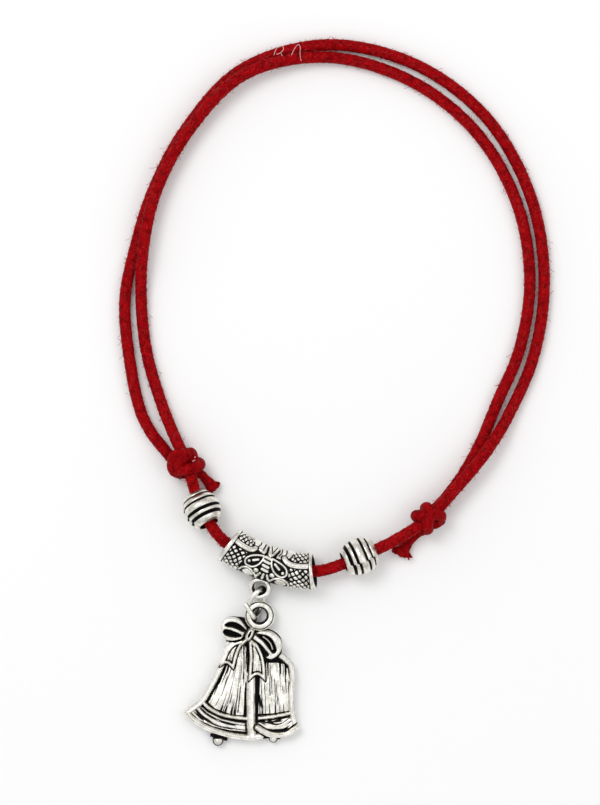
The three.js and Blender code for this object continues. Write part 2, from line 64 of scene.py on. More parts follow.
# The cord's route, its knots and its sizes, as in the part's source. A place on the route is x, y, the
# share of the rise to the beads' bore, and how many cords it lies on
CORD_DIAMETER = 1.8
KNOT_CORD_DIAMETER = 1.75
THREAD_HEIGHT = 3.0
ROUTE = [
    (-12.64, 37.62, 0.17, 0), (-14.0, 39.35, 0.12, 0), (-15.8, 42.9, 0.04, 0), (-17.5, 50.9, 0.01, 0),
    (-18.2, 60.0, 0, 0), (-16.6, 68.2, 0, 0), (-13.9, 76.8, 0, 0), (-8.8, 86.4, 0, 0), (-0.3, 95.5, 0, 0),
    (12.8, 99.35, 0, 0), (26.6, 96.3, 0, 0), (37.6, 88.0, 0, 0), (44.3, 76.0, 0, 0), (46.4, 63.4, 0, 0),
    (44.9, 51.8, 0.03, 0), (41.3, 43.1, 0.17, 0), (37.5, 36.8, 0.94, 0), (32.35, 30.6, 1.04, 0),
    (28.3, 26.3, 1, 0), (23.6, 23.2, 1, 0), (18.1, 20.6, 1, 0), (10.87, 18.3, 1, 0), (4.2, 20.25, 1, 0),
    (-2.36, 22.5, 1, 0), (-6.3, 27.85, 1, 0), (-8.62, 34.85, 1, 0), (-10.6, 39.2, 0.64, 0),
    (-12.5, 43.9, 0.16, 0), (-14.8, 51.7, 0.03, 0), (-15.7, 60.0, 0, 0.14), (-15.3, 68.0, 0, 0.98),
    (-13.4, 76.5, 0, 1.04), (-8.4, 85.9, 0, 1.04), (0.2, 94.6, 0, 1.08), (12.8, 97.4, 0, 0.3),
    (25.8, 93.8, 0, 0.06), (35.9, 85.9, 0, 0.02), (42.2, 74.9, 0, 0), (44.2, 63.2, 0, 0),
    (42.6, 52.4, 0, 0), (39.2, 44.3, 0, 0), (36.4, 37.6, 0, 0), (33.7, 32.8, 0.02, 0),
    (31.8, 30.2, 0.02, 0),
]
KNOTS = {
    "knot_left": [
        [
            (-12.56, 37.53, 1.26), (-11.75, 36.52, 1.3), (-10.92, 35.66, 1.3), (-9.84, 35.21, 1.1),
            (-8.82, 35.46, 1.1), (-7.99, 35.91, 1.7), (-7.91, 36.33, 2.6), (-8.18, 36.44, 3.6),
            (-8.69, 36.17, 4.5), (-9.26, 35.66, 4.8), (-9.74, 35.02, 4.5), (-9.9, 34.38, 3.7),
        ],
        [
            (-8.69, 36.23, 3.7), (-9.2, 36.33, 4.4), (-9.97, 36.29, 4.8), (-10.57, 35.78, 4.5),
            (-10.8, 34.89, 3.7), (-10.67, 33.93, 3), (-10.03, 33.41, 2.2), (-9.2, 33.36, 1.4),
            (-8.24, 33.49, 1), (-7.22, 33.36, 1), (-6.46, 33.13, 1.05), (-5.75, 32.4, 1.05),
            (-5.05, 31.63, 1), (-4.54, 31, 0.95),
        ],
        [
            (-9.97, 33.68, 3.3), (-9.26, 33.9, 4.3), (-8.31, 34.09, 4.75), (-7.35, 34.28, 4.5),
            (-6.71, 34.54, 3.6), (-6.63, 34.83, 2.6), (-7.09, 35.08, 1.8),
        ],
    ],
    "knot_right": [
        [
            (31.71, 30.08, 0.96), (30.92, 29.17, 1), (30.09, 28.28, 1.05), (29.26, 27.51, 1.05),
            (28.56, 27.38, 1.2), (28.11, 27.77, 2), (28.14, 28.07, 3.1), (28.38, 27.93, 4.2),
            (28.49, 27.26, 4.5),
        ],
        [
            (29.26, 25.53, 1.5), (30.03, 25.91, 2.1), (30.37, 26.43, 3), (30.25, 26.9, 3.9),
            (29.64, 27.1, 4.6), (28.91, 26.94, 4.95), (28.44, 26.36, 5), (28.34, 25.53, 4.6),
            (28.38, 24.92, 3.6), (28.3, 24.71, 2.5), (27.86, 24.7, 1.5), (27.22, 24.35, 1.1),
            (26.64, 23.84, 0.95), (26.01, 23.3, 0.95), (25.37, 22.66, 0.95), (24.86, 21.83, 0.95),
            (24.54, 21.13, 0.95),
        ],
        [
            (27.73, 26.43, 1.4), (26.96, 26.52, 1.9), (26.62, 26.81, 2.9), (26.84, 26.9, 3.8),
            (27.47, 26.9, 4.3), (28.11, 26.68, 4.4),
        ],
    ],
}


# Curves
def smooth_line(points, per_span=24):
    """A centripetal Catmull-Rom line through the points."""
    points = np.asarray(points, float)
    ends = [2 * points[0] - points[1], *points, 2 * points[-1] - points[-2]]
    line = []
    for a, b, c, d in zip(ends, ends[1:], ends[2:], ends[3:]):
        t0 = max(np.linalg.norm(b - a), 1e-9) ** 0.5
        t1 = max(np.linalg.norm(c - b), 1e-9) ** 0.5
        t2 = max(np.linalg.norm(d - c), 1e-9) ** 0.5
        m1 = ((b - a) / t0 - (c - a) / (t0 + t1) + (c - b) / t1) * t1
        m2 = ((c - b) / t1 - (d - b) / (t1 + t2) + (d - c) / t2) * t1
        t = np.linspace(0, 1, per_span, endpoint=False)[:, None]
        line.append((2 * b - 2 * c + m1 + m2) * t**3 + (3 * (c - b) - 2 * m1 - m2) * t**2 + m1 * t + b)
    return np.vstack([*line, points[-1:]])


def closed_line(points):
    """A smooth closed outline through the points."""
    return smooth_line([*points, points[0]], 6)[:-1]


def lengths(line):
    return np.concatenate([[0], np.cumsum(np.linalg.norm(np.diff(line, axis=0), axis=1))])


def evenly(line, step):
    at = lengths(line)
    count = max(int(round(at[-1] / step)), 2)
    where = np.linspace(0, at[-1], count + 1)
    return np.stack([np.interp(where, at, line[:, k]) for k in range(line.shape[1])], 1)


def soft_step(x, low, high):
    t = np.clip((x - low) / (high - low), 0, 1)
    return t * t * (3 - 2 * t)


def turned(points, degrees, axes=(0, 1)):
    """The points turned in the plane of two axes."""
    angle = math.radians(degrees)
    points = np.array(points, float)
    a, b = (points[..., k].copy() for k in axes)
    points[..., axes[0]] = math.cos(angle) * a - math.sin(angle) * b
    points[..., axes[1]] = math.sin(angle) * a + math.cos(angle) * b
    return points


# Meshes
def make_mesh(name, vertices, faces, numbers=None, uv=None, smooth=True):
    """A mesh object from points in millimetres, with a float attribute for each entry of numbers."""
    mesh = bpy.data.meshes.new(name)
    counts = np.array([len(f) for f in faces])
    flat = np.concatenate([*faces])
    mesh.vertices.add(len(vertices))
    mesh.vertices.foreach_set("co", (np.asarray(vertices) * MM).astype(np.float32).ravel())
    mesh.loops.add(len(flat))
    mesh.loops.foreach_set("vertex_index", flat.astype(np.int32))
    mesh.polygons.add(len(counts))
    mesh.polygons.foreach_set("loop_start", np.concatenate([[0], np.cumsum(counts)[:-1]]).astype(np.int32))
    mesh.polygons.foreach_set("use_smooth", np.full(len(counts), smooth))
    mesh.update(calc_edges=True)
    for key, values in (numbers or {}).items():
        mesh.attributes.new(key, "FLOAT", "POINT").data.foreach_set("value", np.asarray(values, np.float32))
    if uv is not None:
        mesh.uv_layers.new(name="UVMap").data.foreach_set("uv", np.asarray(uv, np.float32).ravel())
    mesh.validate()
    shape = bpy.data.objects.new(name, mesh)
    bpy.context.scene.collection.objects.link(shape)
    return shape


def quads(rows, columns, closed=False):
    """Faces of a grid of points whose rows go round; closed joins the last row to the first."""
    i = np.arange(rows if closed else rows - 1)[:, None]
    j = np.arange(columns)[None]
    k, below = (j + 1) % columns, (i + 1) % rows
    corners = [i * columns + j, i * columns + k, below * columns + k, below * columns + j]
    return np.stack([c.ravel() for c in corners], 1)


def frames_along(line):
    """Two directions across the line at each point, carried along without twist."""
    tangent = np.gradient(line, axis=0)
    tangent /= np.linalg.norm(tangent, axis=1)[:, None]
    side = np.cross(tangent[0], (0.0, 0.0, 1.0))
    if np.linalg.norm(side) < 1e-3:
        side = np.array([1.0, 0.0, 0.0])
    sides = []
    for t in tangent:
        side = side - t * np.dot(side, t)
        side = side / np.linalg.norm(side)
        sides.append(side)
    sides = np.array(sides)
    return tangent, sides, np.cross(tangent, sides)


def tube_parts(line, radius, sides, roughen=0.0, seed=0, round_ends=True):
    """A closed tube about a line: its points, faces and a (turn, length) pair for each corner."""
    line = np.asarray(line, float)
    at, rows, waves = lengths(line), len(line), 26
    radius = np.broadcast_to(radius, at.shape).copy()
    tangent, side, up = frames_along(line)
    turn = 2 * np.pi * np.arange(sides) / sides
    swell = np.zeros((rows, sides))
    if roughen:
        draw = np.random.default_rng(seed)
        for _ in range(waves):
            across, along = draw.integers(-6, 7), draw.uniform(1.0, 9.0)
            swell += np.sin(across * turn[None] + along * at[:, None] + draw.uniform(0, 6.28)) / waves**0.5
    reach = radius[:, None] * (1 + roughen * swell)
    ring = (line[:, None] + reach[..., None] * (np.cos(turn)[None, :, None] * side[:, None]
                                                 + np.sin(turn)[None, :, None] * up[:, None]))
    cap = 0.35 if round_ends else 0.0
    first = line[0] - tangent[0] * radius[0] * cap
    last = line[-1] + tangent[-1] * radius[-1] * cap
    points = np.vstack([ring.reshape(-1, 3), first, last])
    points[:, 2] = np.maximum(points[:, 2], 0.01)
    j = np.arange(sides)
    k, n, base, one = (j + 1) % sides, rows * sides, (rows - 1) * sides, np.ones(sides)
    near = np.stack([np.full(sides, n), j, k], 1)
    far = np.stack([np.full(sides, n + 1), base + k, base + j], 1)
    u0, u1 = j / sides, (j + 1) / sides
    a0, a1 = np.tile(u0, rows - 1), np.tile(u1, rows - 1)
    b0, b1 = np.repeat(at[:-1], sides), np.repeat(at[1:], sides)
    corners = [[a0, b1, a1, b1, a1, b0, a0, b0],
               [u0, (at[0] - 0.5) * one, u0, at[0] * one, u1, at[0] * one],
               [u0, (at[-1] + 0.5) * one, u1, at[-1] * one, u0, at[-1] * one]]
    uv = np.vstack([np.stack(c, 1).reshape(-1, 2) for c in corners])
    return points, [*quads(rows, sides)[:, ::-1], *near, *far], uv


def join_parts(name, parts, numbers=None):
    """Several tube_parts as one object."""
    points, faces, uvs, start = [], [], [], 0
    for p, f, uv in parts:
        points.append(p)
        faces += [face + start for face in f]
        uvs.append(uv)
        start += len(p)
    return make_mesh(name, np.vstack(points), faces, numbers, np.vstack(uvs))


# The cord and its knots
def cord_height(lift, stack):
    radius = CORD_DIAMETER / 2
    return radius + lift * (THREAD_HEIGHT - radius) + stack * CORD_DIAMETER


route = smooth_line([(x, y, cord_height(lift, stack)) for x, y, lift, stack in ROUTE])
cord_line = evenly(route, 0.22)
cord = join_parts("cord_wound", [tube_parts(cord_line, CORD_DIAMETER / 2, 24, roughen=0.032, seed=3)])

# What each knot adds to its strands: a strand hidden in its middle, the stretch of cord that runs into it,
# and its tail's reach past the knot, extra length and width at the frayed end
TAIL_STRAND = 1
YARNS = 34
FRAYED_LENGTH = 1.8
KNOT_TIES = {
    "knot_left": {
        "hidden": [(-9.0, 35.75, 3.5), (-8.0, 35.6, 3.65), (-7.1, 35.45, 3.5)], "entry": cord_line[8:0:-5],
        "tail": 3.2, "extra": 0.15, "end_width": 2.6, "seed": 11,
    },
    "knot_right": {
        "hidden": [(28.6, 27.2, 2.5), (29.2, 26.0, 2.4), (29.6, 25.1, 2.2)], "entry": cord_line[-9:-1:5],
        "tail": 4.2, "extra": 0.45, "end_width": 3.4, "seed": 31,
    },
}


def frayed(line, width, seed):
    """The yarns of a cut end, spread to a width over the last stretch of a line."""
    draw = np.random.default_rng(seed)
    at = lengths(line)
    inside = np.array([np.interp(at[-1] - FRAYED_LENGTH, at, line[:, k]) for k in range(3)])
    tip = line[-1]
    way = (tip - inside) / np.linalg.norm(tip - inside)
    across = np.array([way[1], -way[0], 0.0])
    parts = []
    for _ in range(YARNS):
        out = draw.uniform(-1, 1)
        up = draw.uniform(-1, 1) * (1 - out * out) ** 0.5
        start = inside + across * out * 0.62 + (0, 0, up * 0.6)
        end = tip + across * out * width / 2 + (0, 0, up * 0.55) + way * draw.uniform(-0.45, 0.3)
        middle = (start + end) / 2 - across * out * 0.12 * width + across * draw.normal(0, 0.06)
        end[2] = max(end[2], 0.12)
        yarn = smooth_line([start, middle, end], 4)
        parts.append(tube_parts(yarn, draw.uniform(0.11, 0.17), 7, roughen=0.1, seed=seed + 1))
    return parts


def build_knot(name, hidden, entry, tail, extra, end_width, seed):
    """A knot's windings; the first starts inside the cord, and another ends frayed."""
    radius = KNOT_CORD_DIAMETER / 2
    parts = [tube_parts(evenly(smooth_line(hidden), 0.16), radius, 24, roughen=0.03, seed=seed)]
    for i, points in enumerate(KNOTS[name]):
        points = [*entry, *points] if i == 0 else points
        if i == TAIL_STRAND:
            way = np.subtract(points[-1], points[-2])
            points = [*points, points[-1] + way / np.linalg.norm(way) * extra]
        line = evenly(smooth_line(points), 0.14)
        at = lengths(line)
        reach = np.full(len(line), radius)
        if i == 0:
            reach = radius * (0.93 + 0.09 * soft_step(at, 0.3, 1.8))
        if i == TAIL_STRAND:
            reach = radius * (1 - 0.2 * soft_step(at, at[-1] - tail - 1.2, at[-1] - tail + 0.4)
                              + 0.12 * end_width * soft_step(at, at[-1] - tail + 0.6, at[-1]))
            parts += frayed(line, end_width, seed)
        parts.append(tube_parts(line, reach, 26, roughen=0.03, seed=seed + 7 * i))
    return join_parts(name + "_tied", parts)


knots = {name: build_knot(name, **tie) for name, tie in KNOT_TIES.items()}

# Metal sizes, as in the part's source. A bead's place is x, y, its heading and lean in degrees, where its
# seam is, and how wide each groove is
BEAD = {"diameter": 5.88, "length": 5.2, "bore": 3.0, "groove": 0.42, "end_share": 0.63}
BEAD_RIDGES = [0.03, 0.18, 0.36, 0.64, 0.82, 0.97]
BEAD_PLACES = {"bead_left": (-6.3, 27.85, -62.5, 17.0, 0.5, (0.65, 0.8, 1.3, 1.25)),
               "bead_right": (17.9, 20.6, 21.5, -8.0, 1.2, (1.25, 1.1, 0.95, 0.7))}
BEAD_GRID = {"rows": 150, "inner": 8, "columns": 96}
BAIL = {
    "diameter": 6.0, "body": 5.5, "bore": 4.4, "bend_radius": 20.3, "bend_degrees": 40.0,
    "rim": 0.6, "lip": 0.22, "lip_step": 0.18, "left_rim_step": 0.1, "slant": 0.36,
}
BAIL_GRID = {"rows": 270, "inner": 24, "columns": 330}
BAIL_PLACE = (3.97, 19.3, -17.9)
BAIL_LOOP = {"hole": 2.05, "wire": 0.72, "droop": 10.0, "along": -0.03}
JUMP_RING = {"mean": 4.42, "wire": 0.76, "slack": 0.11}
JUMP_RING_LINE = [
    (0.95, 13.5, 2.95), (1.3, 14.1, 3.15), (1.8, 14.75, 3.3), (2.35, 15.35, 3.15), (2.8, 15.7, 2.4),
    (3.15, 15.55, 1.4), (3.25, 14.9, 0.75), (3.1, 14.1, 0.5), (2.9, 13.2, 0.38), (2.5, 12.2, 0.4),
    (2.1, 11.45, 0.9), (1.88, 11.05, 1.8), (1.6, 11.35, 2.5), (1.1, 12.1, 2.75), (0.7, 12.75, 2.78),
    (0.35, 13.3, 2.7),
]
CHARM_WIDTH = 18.0
CHARM_HEIGHT = 22.6
CHARM_RING = {"outer": 4.7, "hole": 2.5, "height": 1.7}
RING_PLACE = (0.145, 0.504)


# Beads
def build_bead(name, x, y, heading, lean, seam, grooves):
    """A barrel of five rounded ridges whose grooves jog at a parting line."""
    rows, inner, columns = BEAD_GRID["rows"], BEAD_GRID["inner"], BEAD_GRID["columns"]
    share = np.linspace(0, 1, rows)
    turn = 2 * np.pi * np.arange(columns) / columns
    jog = 0.05 * soft_step(np.sin(turn - seam), -0.06, 0.06)
    off = share[:, None] + jog[None] - 0.025
    hull = BEAD["diameter"] / 2 * (1 - (1 - BEAD["end_share"]) * (2 * share - 1) ** 2)[:, None]
    nearest = np.min([np.abs(off - e) * BEAD["length"] / w for e, w in zip(BEAD_RIDGES[1:-1], grooves)], axis=0)
    edge = [-0.02, *BEAD_RIDGES[1:-1], 1.02]
    crown = np.max([1 - ((off - (a + b) / 2) / ((b - a) / 2)) ** 2 for a, b in zip(edge, edge[1:])], axis=0)
    radius = hull - BEAD["groove"] * (1 - np.clip(crown, 0, 1) ** 0.45)
    radius *= 1 + 0.006 * np.sin(3 * turn[None] + 9 * share[:, None])
    near_side = 0.85 + 0.3 * np.clip(np.sin(turn - 0.2), -1, 1)[None]
    patina = np.vstack([1 - soft_step(nearest / near_side, 0.14, 0.24), np.full((inner, columns), 0.8)])
    along = (share - 0.5) * BEAD["length"]
    along = np.concatenate([along, np.linspace(along[-1], along[0], inner)])[:, None]
    radius = np.vstack([radius, np.full((inner, columns), BEAD["bore"] / 2)])
    points = np.stack([radius * np.cos(turn), np.broadcast_to(along, radius.shape), radius * np.sin(turn)], -1)
    points = turned(turned(points.reshape(-1, 3), lean, (1, 2)), heading - 90) + (x, y, THREAD_HEIGHT)
    return make_mesh(name, points, quads(rows + inner, columns, closed=True)[:, ::-1], {"patina": patina.ravel()})


beads = {name: build_bead(name + "_ringed", *place) for name, place in BEAD_PLACES.items()}

# A height so low that anything drawn stands over it
NOTHING = -9.0


# Relief drawing: distances from places in a plane to lines and outlines
def nearest_on(line, x, y, reach):
    """Distance to a line, how far along it the nearest point is, and which side it is on."""
    line = np.asarray(line, float)
    best = np.full(x.shape, 1e3)
    along = np.zeros(x.shape)
    side = np.zeros(x.shape)
    low, high = line.min(0) - reach, line.max(0) + reach
    near = (x > low[0]) & (x < high[0]) & (y > low[1]) & (y < high[1])
    px, py = x[near], y[near]
    d_best, a_best, s_best = best[near], along[near], side[near]
    for (ax, ay), (bx, by), start in zip(line, line[1:], lengths(line)):
        dx, dy = bx - ax, by - ay
        size = max(math.hypot(dx, dy), 1e-9)
        t = np.clip(((px - ax) * dx + (py - ay) * dy) / size**2, 0, 1)
        d = np.hypot(px - ax - t * dx, py - ay - t * dy)
        closer = d < d_best
        d_best = np.where(closer, d, d_best)
        a_best = np.where(closer, start + t * size, a_best)
        s_best = np.where(closer, (px - ax) * dy - (py - ay) * dx, s_best)
    best[near], along[near], side[near] = d_best, a_best, np.sign(s_best)
    return best, along, side


def inside_depth(outline, x, y):
    """How deep each point is inside a closed outline, negative outside."""
    outline = np.asarray(outline, float)
    closed = np.vstack([outline, outline[:1]])
    inside = np.zeros(x.shape, bool)
    for (ax, ay), (bx, by) in zip(closed, closed[1:]):
        crosses = (ay > y) != (by > y)
        rise = by - ay if abs(by - ay) > 1e-12 else 1e-12
        inside ^= crosses & (x < (bx - ax) * (y - ay) / rise + ax)
    d = nearest_on(closed, x, y, 50)[0]
    return np.where(inside, d, -d)


class Relief:
    """Heights over a flat ground and how dark they are, drawn over a grid of places."""

    def __init__(self, x, y, ground):
        self.x, self.y, self.ground = x, y, ground
        self.height, self.dark = np.full(x.shape, ground), np.zeros(x.shape)

    def distance(self, line, reach):
        return nearest_on(line, self.x, self.y, reach)[0]

    def depth(self, outline):
        return inside_depth(outline, self.x, self.y)

    def put(self, where, level):
        self.height = np.where(where, level, self.height)

    def stain(self, where, share):
        self.dark = np.where(where, share, self.dark)

    def clear(self, where):
        self.put(where, self.ground)
        self.stain(where, 0)

    def lift(self, where, level):
        """Raise what is lower than a level."""
        self.height = np.maximum(self.height, np.where(where, level, NOTHING))

    def mound(self, d, width, top, power, base=None):
        """A rounded ridge of a given width, from the distance to its middle."""
        base = self.ground if base is None else base
        t = np.clip(1 - (2 * d / width) ** 2, 0, 1)
        self.stain(d < width / 2, 0)
        self.lift(t > 0, base + (top - base) * t**power)

    def ridge(self, line, width, top, power):
        self.mound(self.distance(line, width), width, top, power)

    def engrave(self, line, width, depth):
        self.height = self.height - depth * np.clip(1 - (2 * self.distance(line, width) / width) ** 2, 0, 1)


def blurred(field, cells):
    """The field smoothed over a number of cells."""
    size = int(3 * cells) + 1
    kernel = np.exp(-0.5 * (np.arange(-size, size + 1) / cells) ** 2)
    kernel /= kernel.sum()
    for axis in (0, 1):
        padded = np.pad(field, [(size, size) if a == axis else (0, 0) for a in (0, 1)], mode="edge")
        field = np.apply_along_axis(lambda row: np.convolve(row, kernel, "valid"), axis, padded)
    return field


# The bail's ornament: shares of its half length and of a quarter turn
BAIL_HALF_LENGTH = BAIL["bend_radius"] * math.radians(BAIL["bend_degrees"]) / 2
QUARTER_TURN = 4.4
BAIL_LEVELS = {"ground": 2.6, "grain": 2.87, "line": 2.92, "band": 2.95}
DROPS = [
    [
        (-0.17, 0.27), (-0.32, 0.2), (-0.45, 0.07), (-0.51, -0.11), (-0.455, -0.26), (-0.32, -0.255),
        (-0.21, -0.08), (-0.165, 0.1), (-0.16, 0.25),
    ],
    [
        (0.035, 0.27), (0.05, 0.07), (0.12, -0.12), (0.22, -0.26), (0.33, -0.305), (0.41, -0.19),
        (0.39, 0.01), (0.25, 0.17), (0.07, 0.26),
    ],
]
SWOOSHES = [
    [
        (-1.0, 0.3), (-0.9, 0.29), (-0.78, 0.27), (-0.66, 0.27), (-0.54, 0.28), (-0.46, 0.33),
        (-0.42, 0.42),
    ],
    [(0.3, 0.41), (0.36, 0.3), (0.46, 0.22), (0.6, 0.19), (0.75, 0.19), (0.95, 0.22)],
]
ARCHES = [
    [
        (-0.535, -0.62), (-0.49, -0.44), (-0.41, -0.35), (-0.29, -0.41), (-0.21, -0.53), (-0.17, -0.68),
    ],
    [(0.1, -0.62), (0.19, -0.44), (0.3, -0.38), (0.4, -0.43), (0.46, -0.52), (0.48, -0.68)],
]
UPPER_PETALS = [
    [
        (-0.17, 0.31), (-0.32, 0.37), (-0.43, 0.47), (-0.5, 0.62), (-0.54, 0.98), (-0.15, 0.98),
        (-0.14, 0.6), (-0.13, 0.43),
    ],
    [
        (-0.02, 0.25), (-0.1, 0.36), (-0.115, 0.6), (-0.12, 0.98), (0.15, 0.98), (0.13, 0.62), (0.06, 0.38),
    ],
    [
        (0.1, 0.32), (0.23, 0.31), (0.36, 0.37), (0.46, 0.48), (0.51, 0.66), (0.53, 0.98), (0.175, 0.98),
        (0.16, 0.62), (0.11, 0.45),
    ],
]
PETAL_LINES = [
    [(-0.37, 0.52), (-0.33, 0.68), (-0.34, 0.92)],
    [(-0.23, 0.46), (-0.22, 0.62), (-0.21, 0.88)],
    [(-0.06, 0.9), (-0.03, 0.62), (0.0, 0.46)],
    [(0.09, 0.9), (0.04, 0.62), (0.0, 0.46)],
    [(0.17, 0.43), (0.22, 0.6), (0.22, 0.88)],
    [(0.31, 0.46), (0.34, 0.65), (0.33, 0.9)],
]
CENTRE_BARS = [(-0.05, 0.25), (-0.062, 0.1), (-0.055, -0.06), (-0.05, -0.21)]
LOWER_PETALS = [
    ((-0.12, -0.38), (-0.17, -0.56)), ((-0.045, -0.38), (-0.05, -0.6)), ((0.03, -0.38), (0.07, -0.57)),
]
BAIL_DOTS = [
    (-0.215, -0.33, 0.42), (0.125, -0.33, 0.42), (-0.425, -0.1, 0.28), (0.33, -0.15, 0.29),
    (-0.55, 0.47, 0.3), (0.5, 0.44, 0.28),
]
INNER_DROPS = [((-0.35, -0.02), (-0.26, 0.07)), ((0.24, -0.04), (0.13, 0.1))]
GRAIN_FIELDS = [
    {
        "pitch": 0.64,
        "turn": 38,
        "outline": [
            (-0.97, 0.2), (-0.56, 0.16), (-0.5, -0.05), (-0.57, -0.32), (-0.55, -1.2), (-0.97, -1.2),
        ],
    },
    {
        "pitch": 0.64,
        "turn": -36,
        "outline": [(0.44, 0.12), (0.93, 0.14), (0.93, -1.2), (0.52, -1.2), (0.5, -0.5), (0.44, -0.12)],
    },
    {
        "pitch": 0.66,
        "turn": 30,
        "outline": [(-0.97, 0.42), (-0.56, 0.37), (-0.51, 0.52), (-0.51, 1.2), (-0.97, 1.2)],
    },
    {
        "pitch": 0.66,
        "turn": -28,
        "outline": [(0.5, 0.4), (0.56, 0.31), (0.93, 0.36), (0.93, 1.2), (0.51, 1.2)],
    },
]


def scaled(points):
    return np.asarray(points, float) * (BAIL_HALF_LENGTH, QUARTER_TURN)


def grains(u, w, pitch, turn):
    """Rows of uneven cast grains, from 0 between them to 1 on top."""
    spun = turned(np.stack([u, w], -1), turn)
    a = spun[..., 0] / pitch + 0.16 * np.sin(1.9 * spun[..., 1] + 1.0)
    b = spun[..., 1] / (pitch * 1.2) + 0.14 * np.sin(2.3 * spun[..., 0])
    i, j = np.floor(a).astype(int) % 64, np.floor(b).astype(int) % 64
    size = np.random.default_rng(8).uniform(0.58, 0.86, (64, 64))[i, j]
    cell, cell_b = np.abs(a % 1 - 0.5) * 2, np.abs(b % 1 - 0.5) * 2
    return np.clip(1 - (cell**4 + cell_b**4) / size**4, 0, 1) ** 0.4


def bail_relief(u, w):
    """Radius of the bail's skin at u along it and w round it, in millimetres."""
    ground, grain_top, line_top, band_top = BAIL_LEVELS.values()
    relief = Relief(u, w, ground)
    for field in GRAIN_FIELDS:
        inside = relief.depth(scaled(field["outline"])) > 0
        relief.lift(inside, ground + (grain_top - ground) * grains(u, w, field["pitch"], field["turn"]))
    for petal in UPPER_PETALS:
        depth = relief.depth(closed_line(scaled(petal)))
        relief.lift(depth > 0, ground + (band_top - ground) * soft_step(depth, 0, 0.2))
    for line in PETAL_LINES:
        relief.height -= 0.3 * (1 - soft_step(relief.distance(scaled(line), 0.3), 0.05, 0.14))
    for drop in DROPS:
        relief.clear(relief.depth(closed_line(scaled(drop))) > -0.3)
        relief.ridge(smooth_line(scaled(drop + drop[:1]), 8), 0.38, line_top, 0.6)
    for line in INNER_DROPS:
        relief.ridge(scaled(line), 0.5, line_top, 0.6)
    for arch in ARCHES:
        relief.clear(relief.depth(smooth_line(scaled(arch), 6)) > -0.25)
        relief.ridge(smooth_line(scaled(arch), 8), 0.34, line_top, 0.6)
        middle = np.mean(scaled(arch), axis=0) - (0, 0.35)
        oval = np.hypot((u - middle[0]) / 0.85, (w - middle[1]) / 0.75)
        relief.lift(oval < 1, ground + 0.3 * np.clip(1 - oval**2, 0, 1) ** 0.35)
    for swoosh, lower in zip(SWOOSHES, (-1, 1)):
        d, _, side = nearest_on(smooth_line(scaled(swoosh), 8), u, w, 0.6)
        relief.clear(d < 0.62)
        relief.mound(d, 0.86, band_top, 0.35)
        relief.height -= 0.1 * (1 - soft_step(np.abs(d * side - lower * 0.2), 0.03, 0.09)) * (d < 0.4)
    for along, up in CENTRE_BARS:
        relief.ridge(scaled([(along - 0.058, up + 0.012), (along + 0.058, up - 0.02)]), 0.52, line_top, 0.4)
    for line in LOWER_PETALS:
        relief.ridge(scaled(line), 0.4, line_top, 0.45)
    for along, up, radius in BAIL_DOTS:
        d = np.hypot(u - along * BAIL_HALF_LENGTH, w - up * QUARTER_TURN)
        relief.clear(d < radius + 0.12)
        relief.mound(d, 2 * radius, line_top, 0.5)
    return relief.height


def around_bail(u, turn, radius):
    """Places on the bent bail: u along its axis, turn in radians from the top to the bend's inside."""
    bend = u / BAIL["bend_radius"]
    reach = BAIL["bend_radius"] - radius * np.sin(turn)
    return np.stack([reach * np.sin(bend), BAIL["bend_radius"] - reach * np.cos(bend),
                     radius * np.cos(turn)], -1)


def place_bail(points):
    x, y, heading = BAIL_PLACE
    return turned(points, heading) + (x, y, THREAD_HEIGHT)


def bail_loop_centre():
    reach = (BAIL["body"] + BAIL_LOOP["hole"]) / 2 + BAIL_LOOP["wire"] / 8
    turn = -(1 + BAIL_LOOP["droop"] / 90) * math.pi / 2
    return around_bail(np.array(BAIL_LOOP["along"] * BAIL_HALF_LENGTH), np.array(turn), reach)


def eyelet(mean, across, up, around, sides, square, sink, narrow, dark, groove=0.0):
    """A cast ring about Z, deeper and narrower below: its points, its faces and how dark each point is, with its
    inner wall darkened by patina and painted shade.
    """
    turn, angle = (2 * np.pi * np.arange(n) / n for n in (around, sides))
    c, s = np.cos(angle), np.sin(angle)
    low = np.clip(-s, 0, 1)
    cut = groove * np.exp(-(((angle - np.pi / 2 + 0.4) / 0.3) ** 2))
    wide, tall = (np.sign(v) * np.abs(v) ** square for v in (c, s))
    radius = mean + across * wide[None]
    points = np.stack([radius * np.cos(turn)[:, None], radius * np.sin(turn)[:, None],
                       np.broadcast_to(up * tall, (around, sides))], -1)
    points[..., 2] -= sink * low + cut
    points[..., :2] *= (1 - narrow * low * soft_step(-c, 0, 0.6))[:, None]
    # The groove is an engraved dark line; the darker inner wall is patina together with painted shade for the
    # shadow inside the hole.
    shade = np.clip(6 * cut + soft_step(-c, *dark), 0, 1)
    return points.reshape(-1, 3), np.roll(quads(around, sides, closed=True), -1, axis=1), np.tile(shade, around)


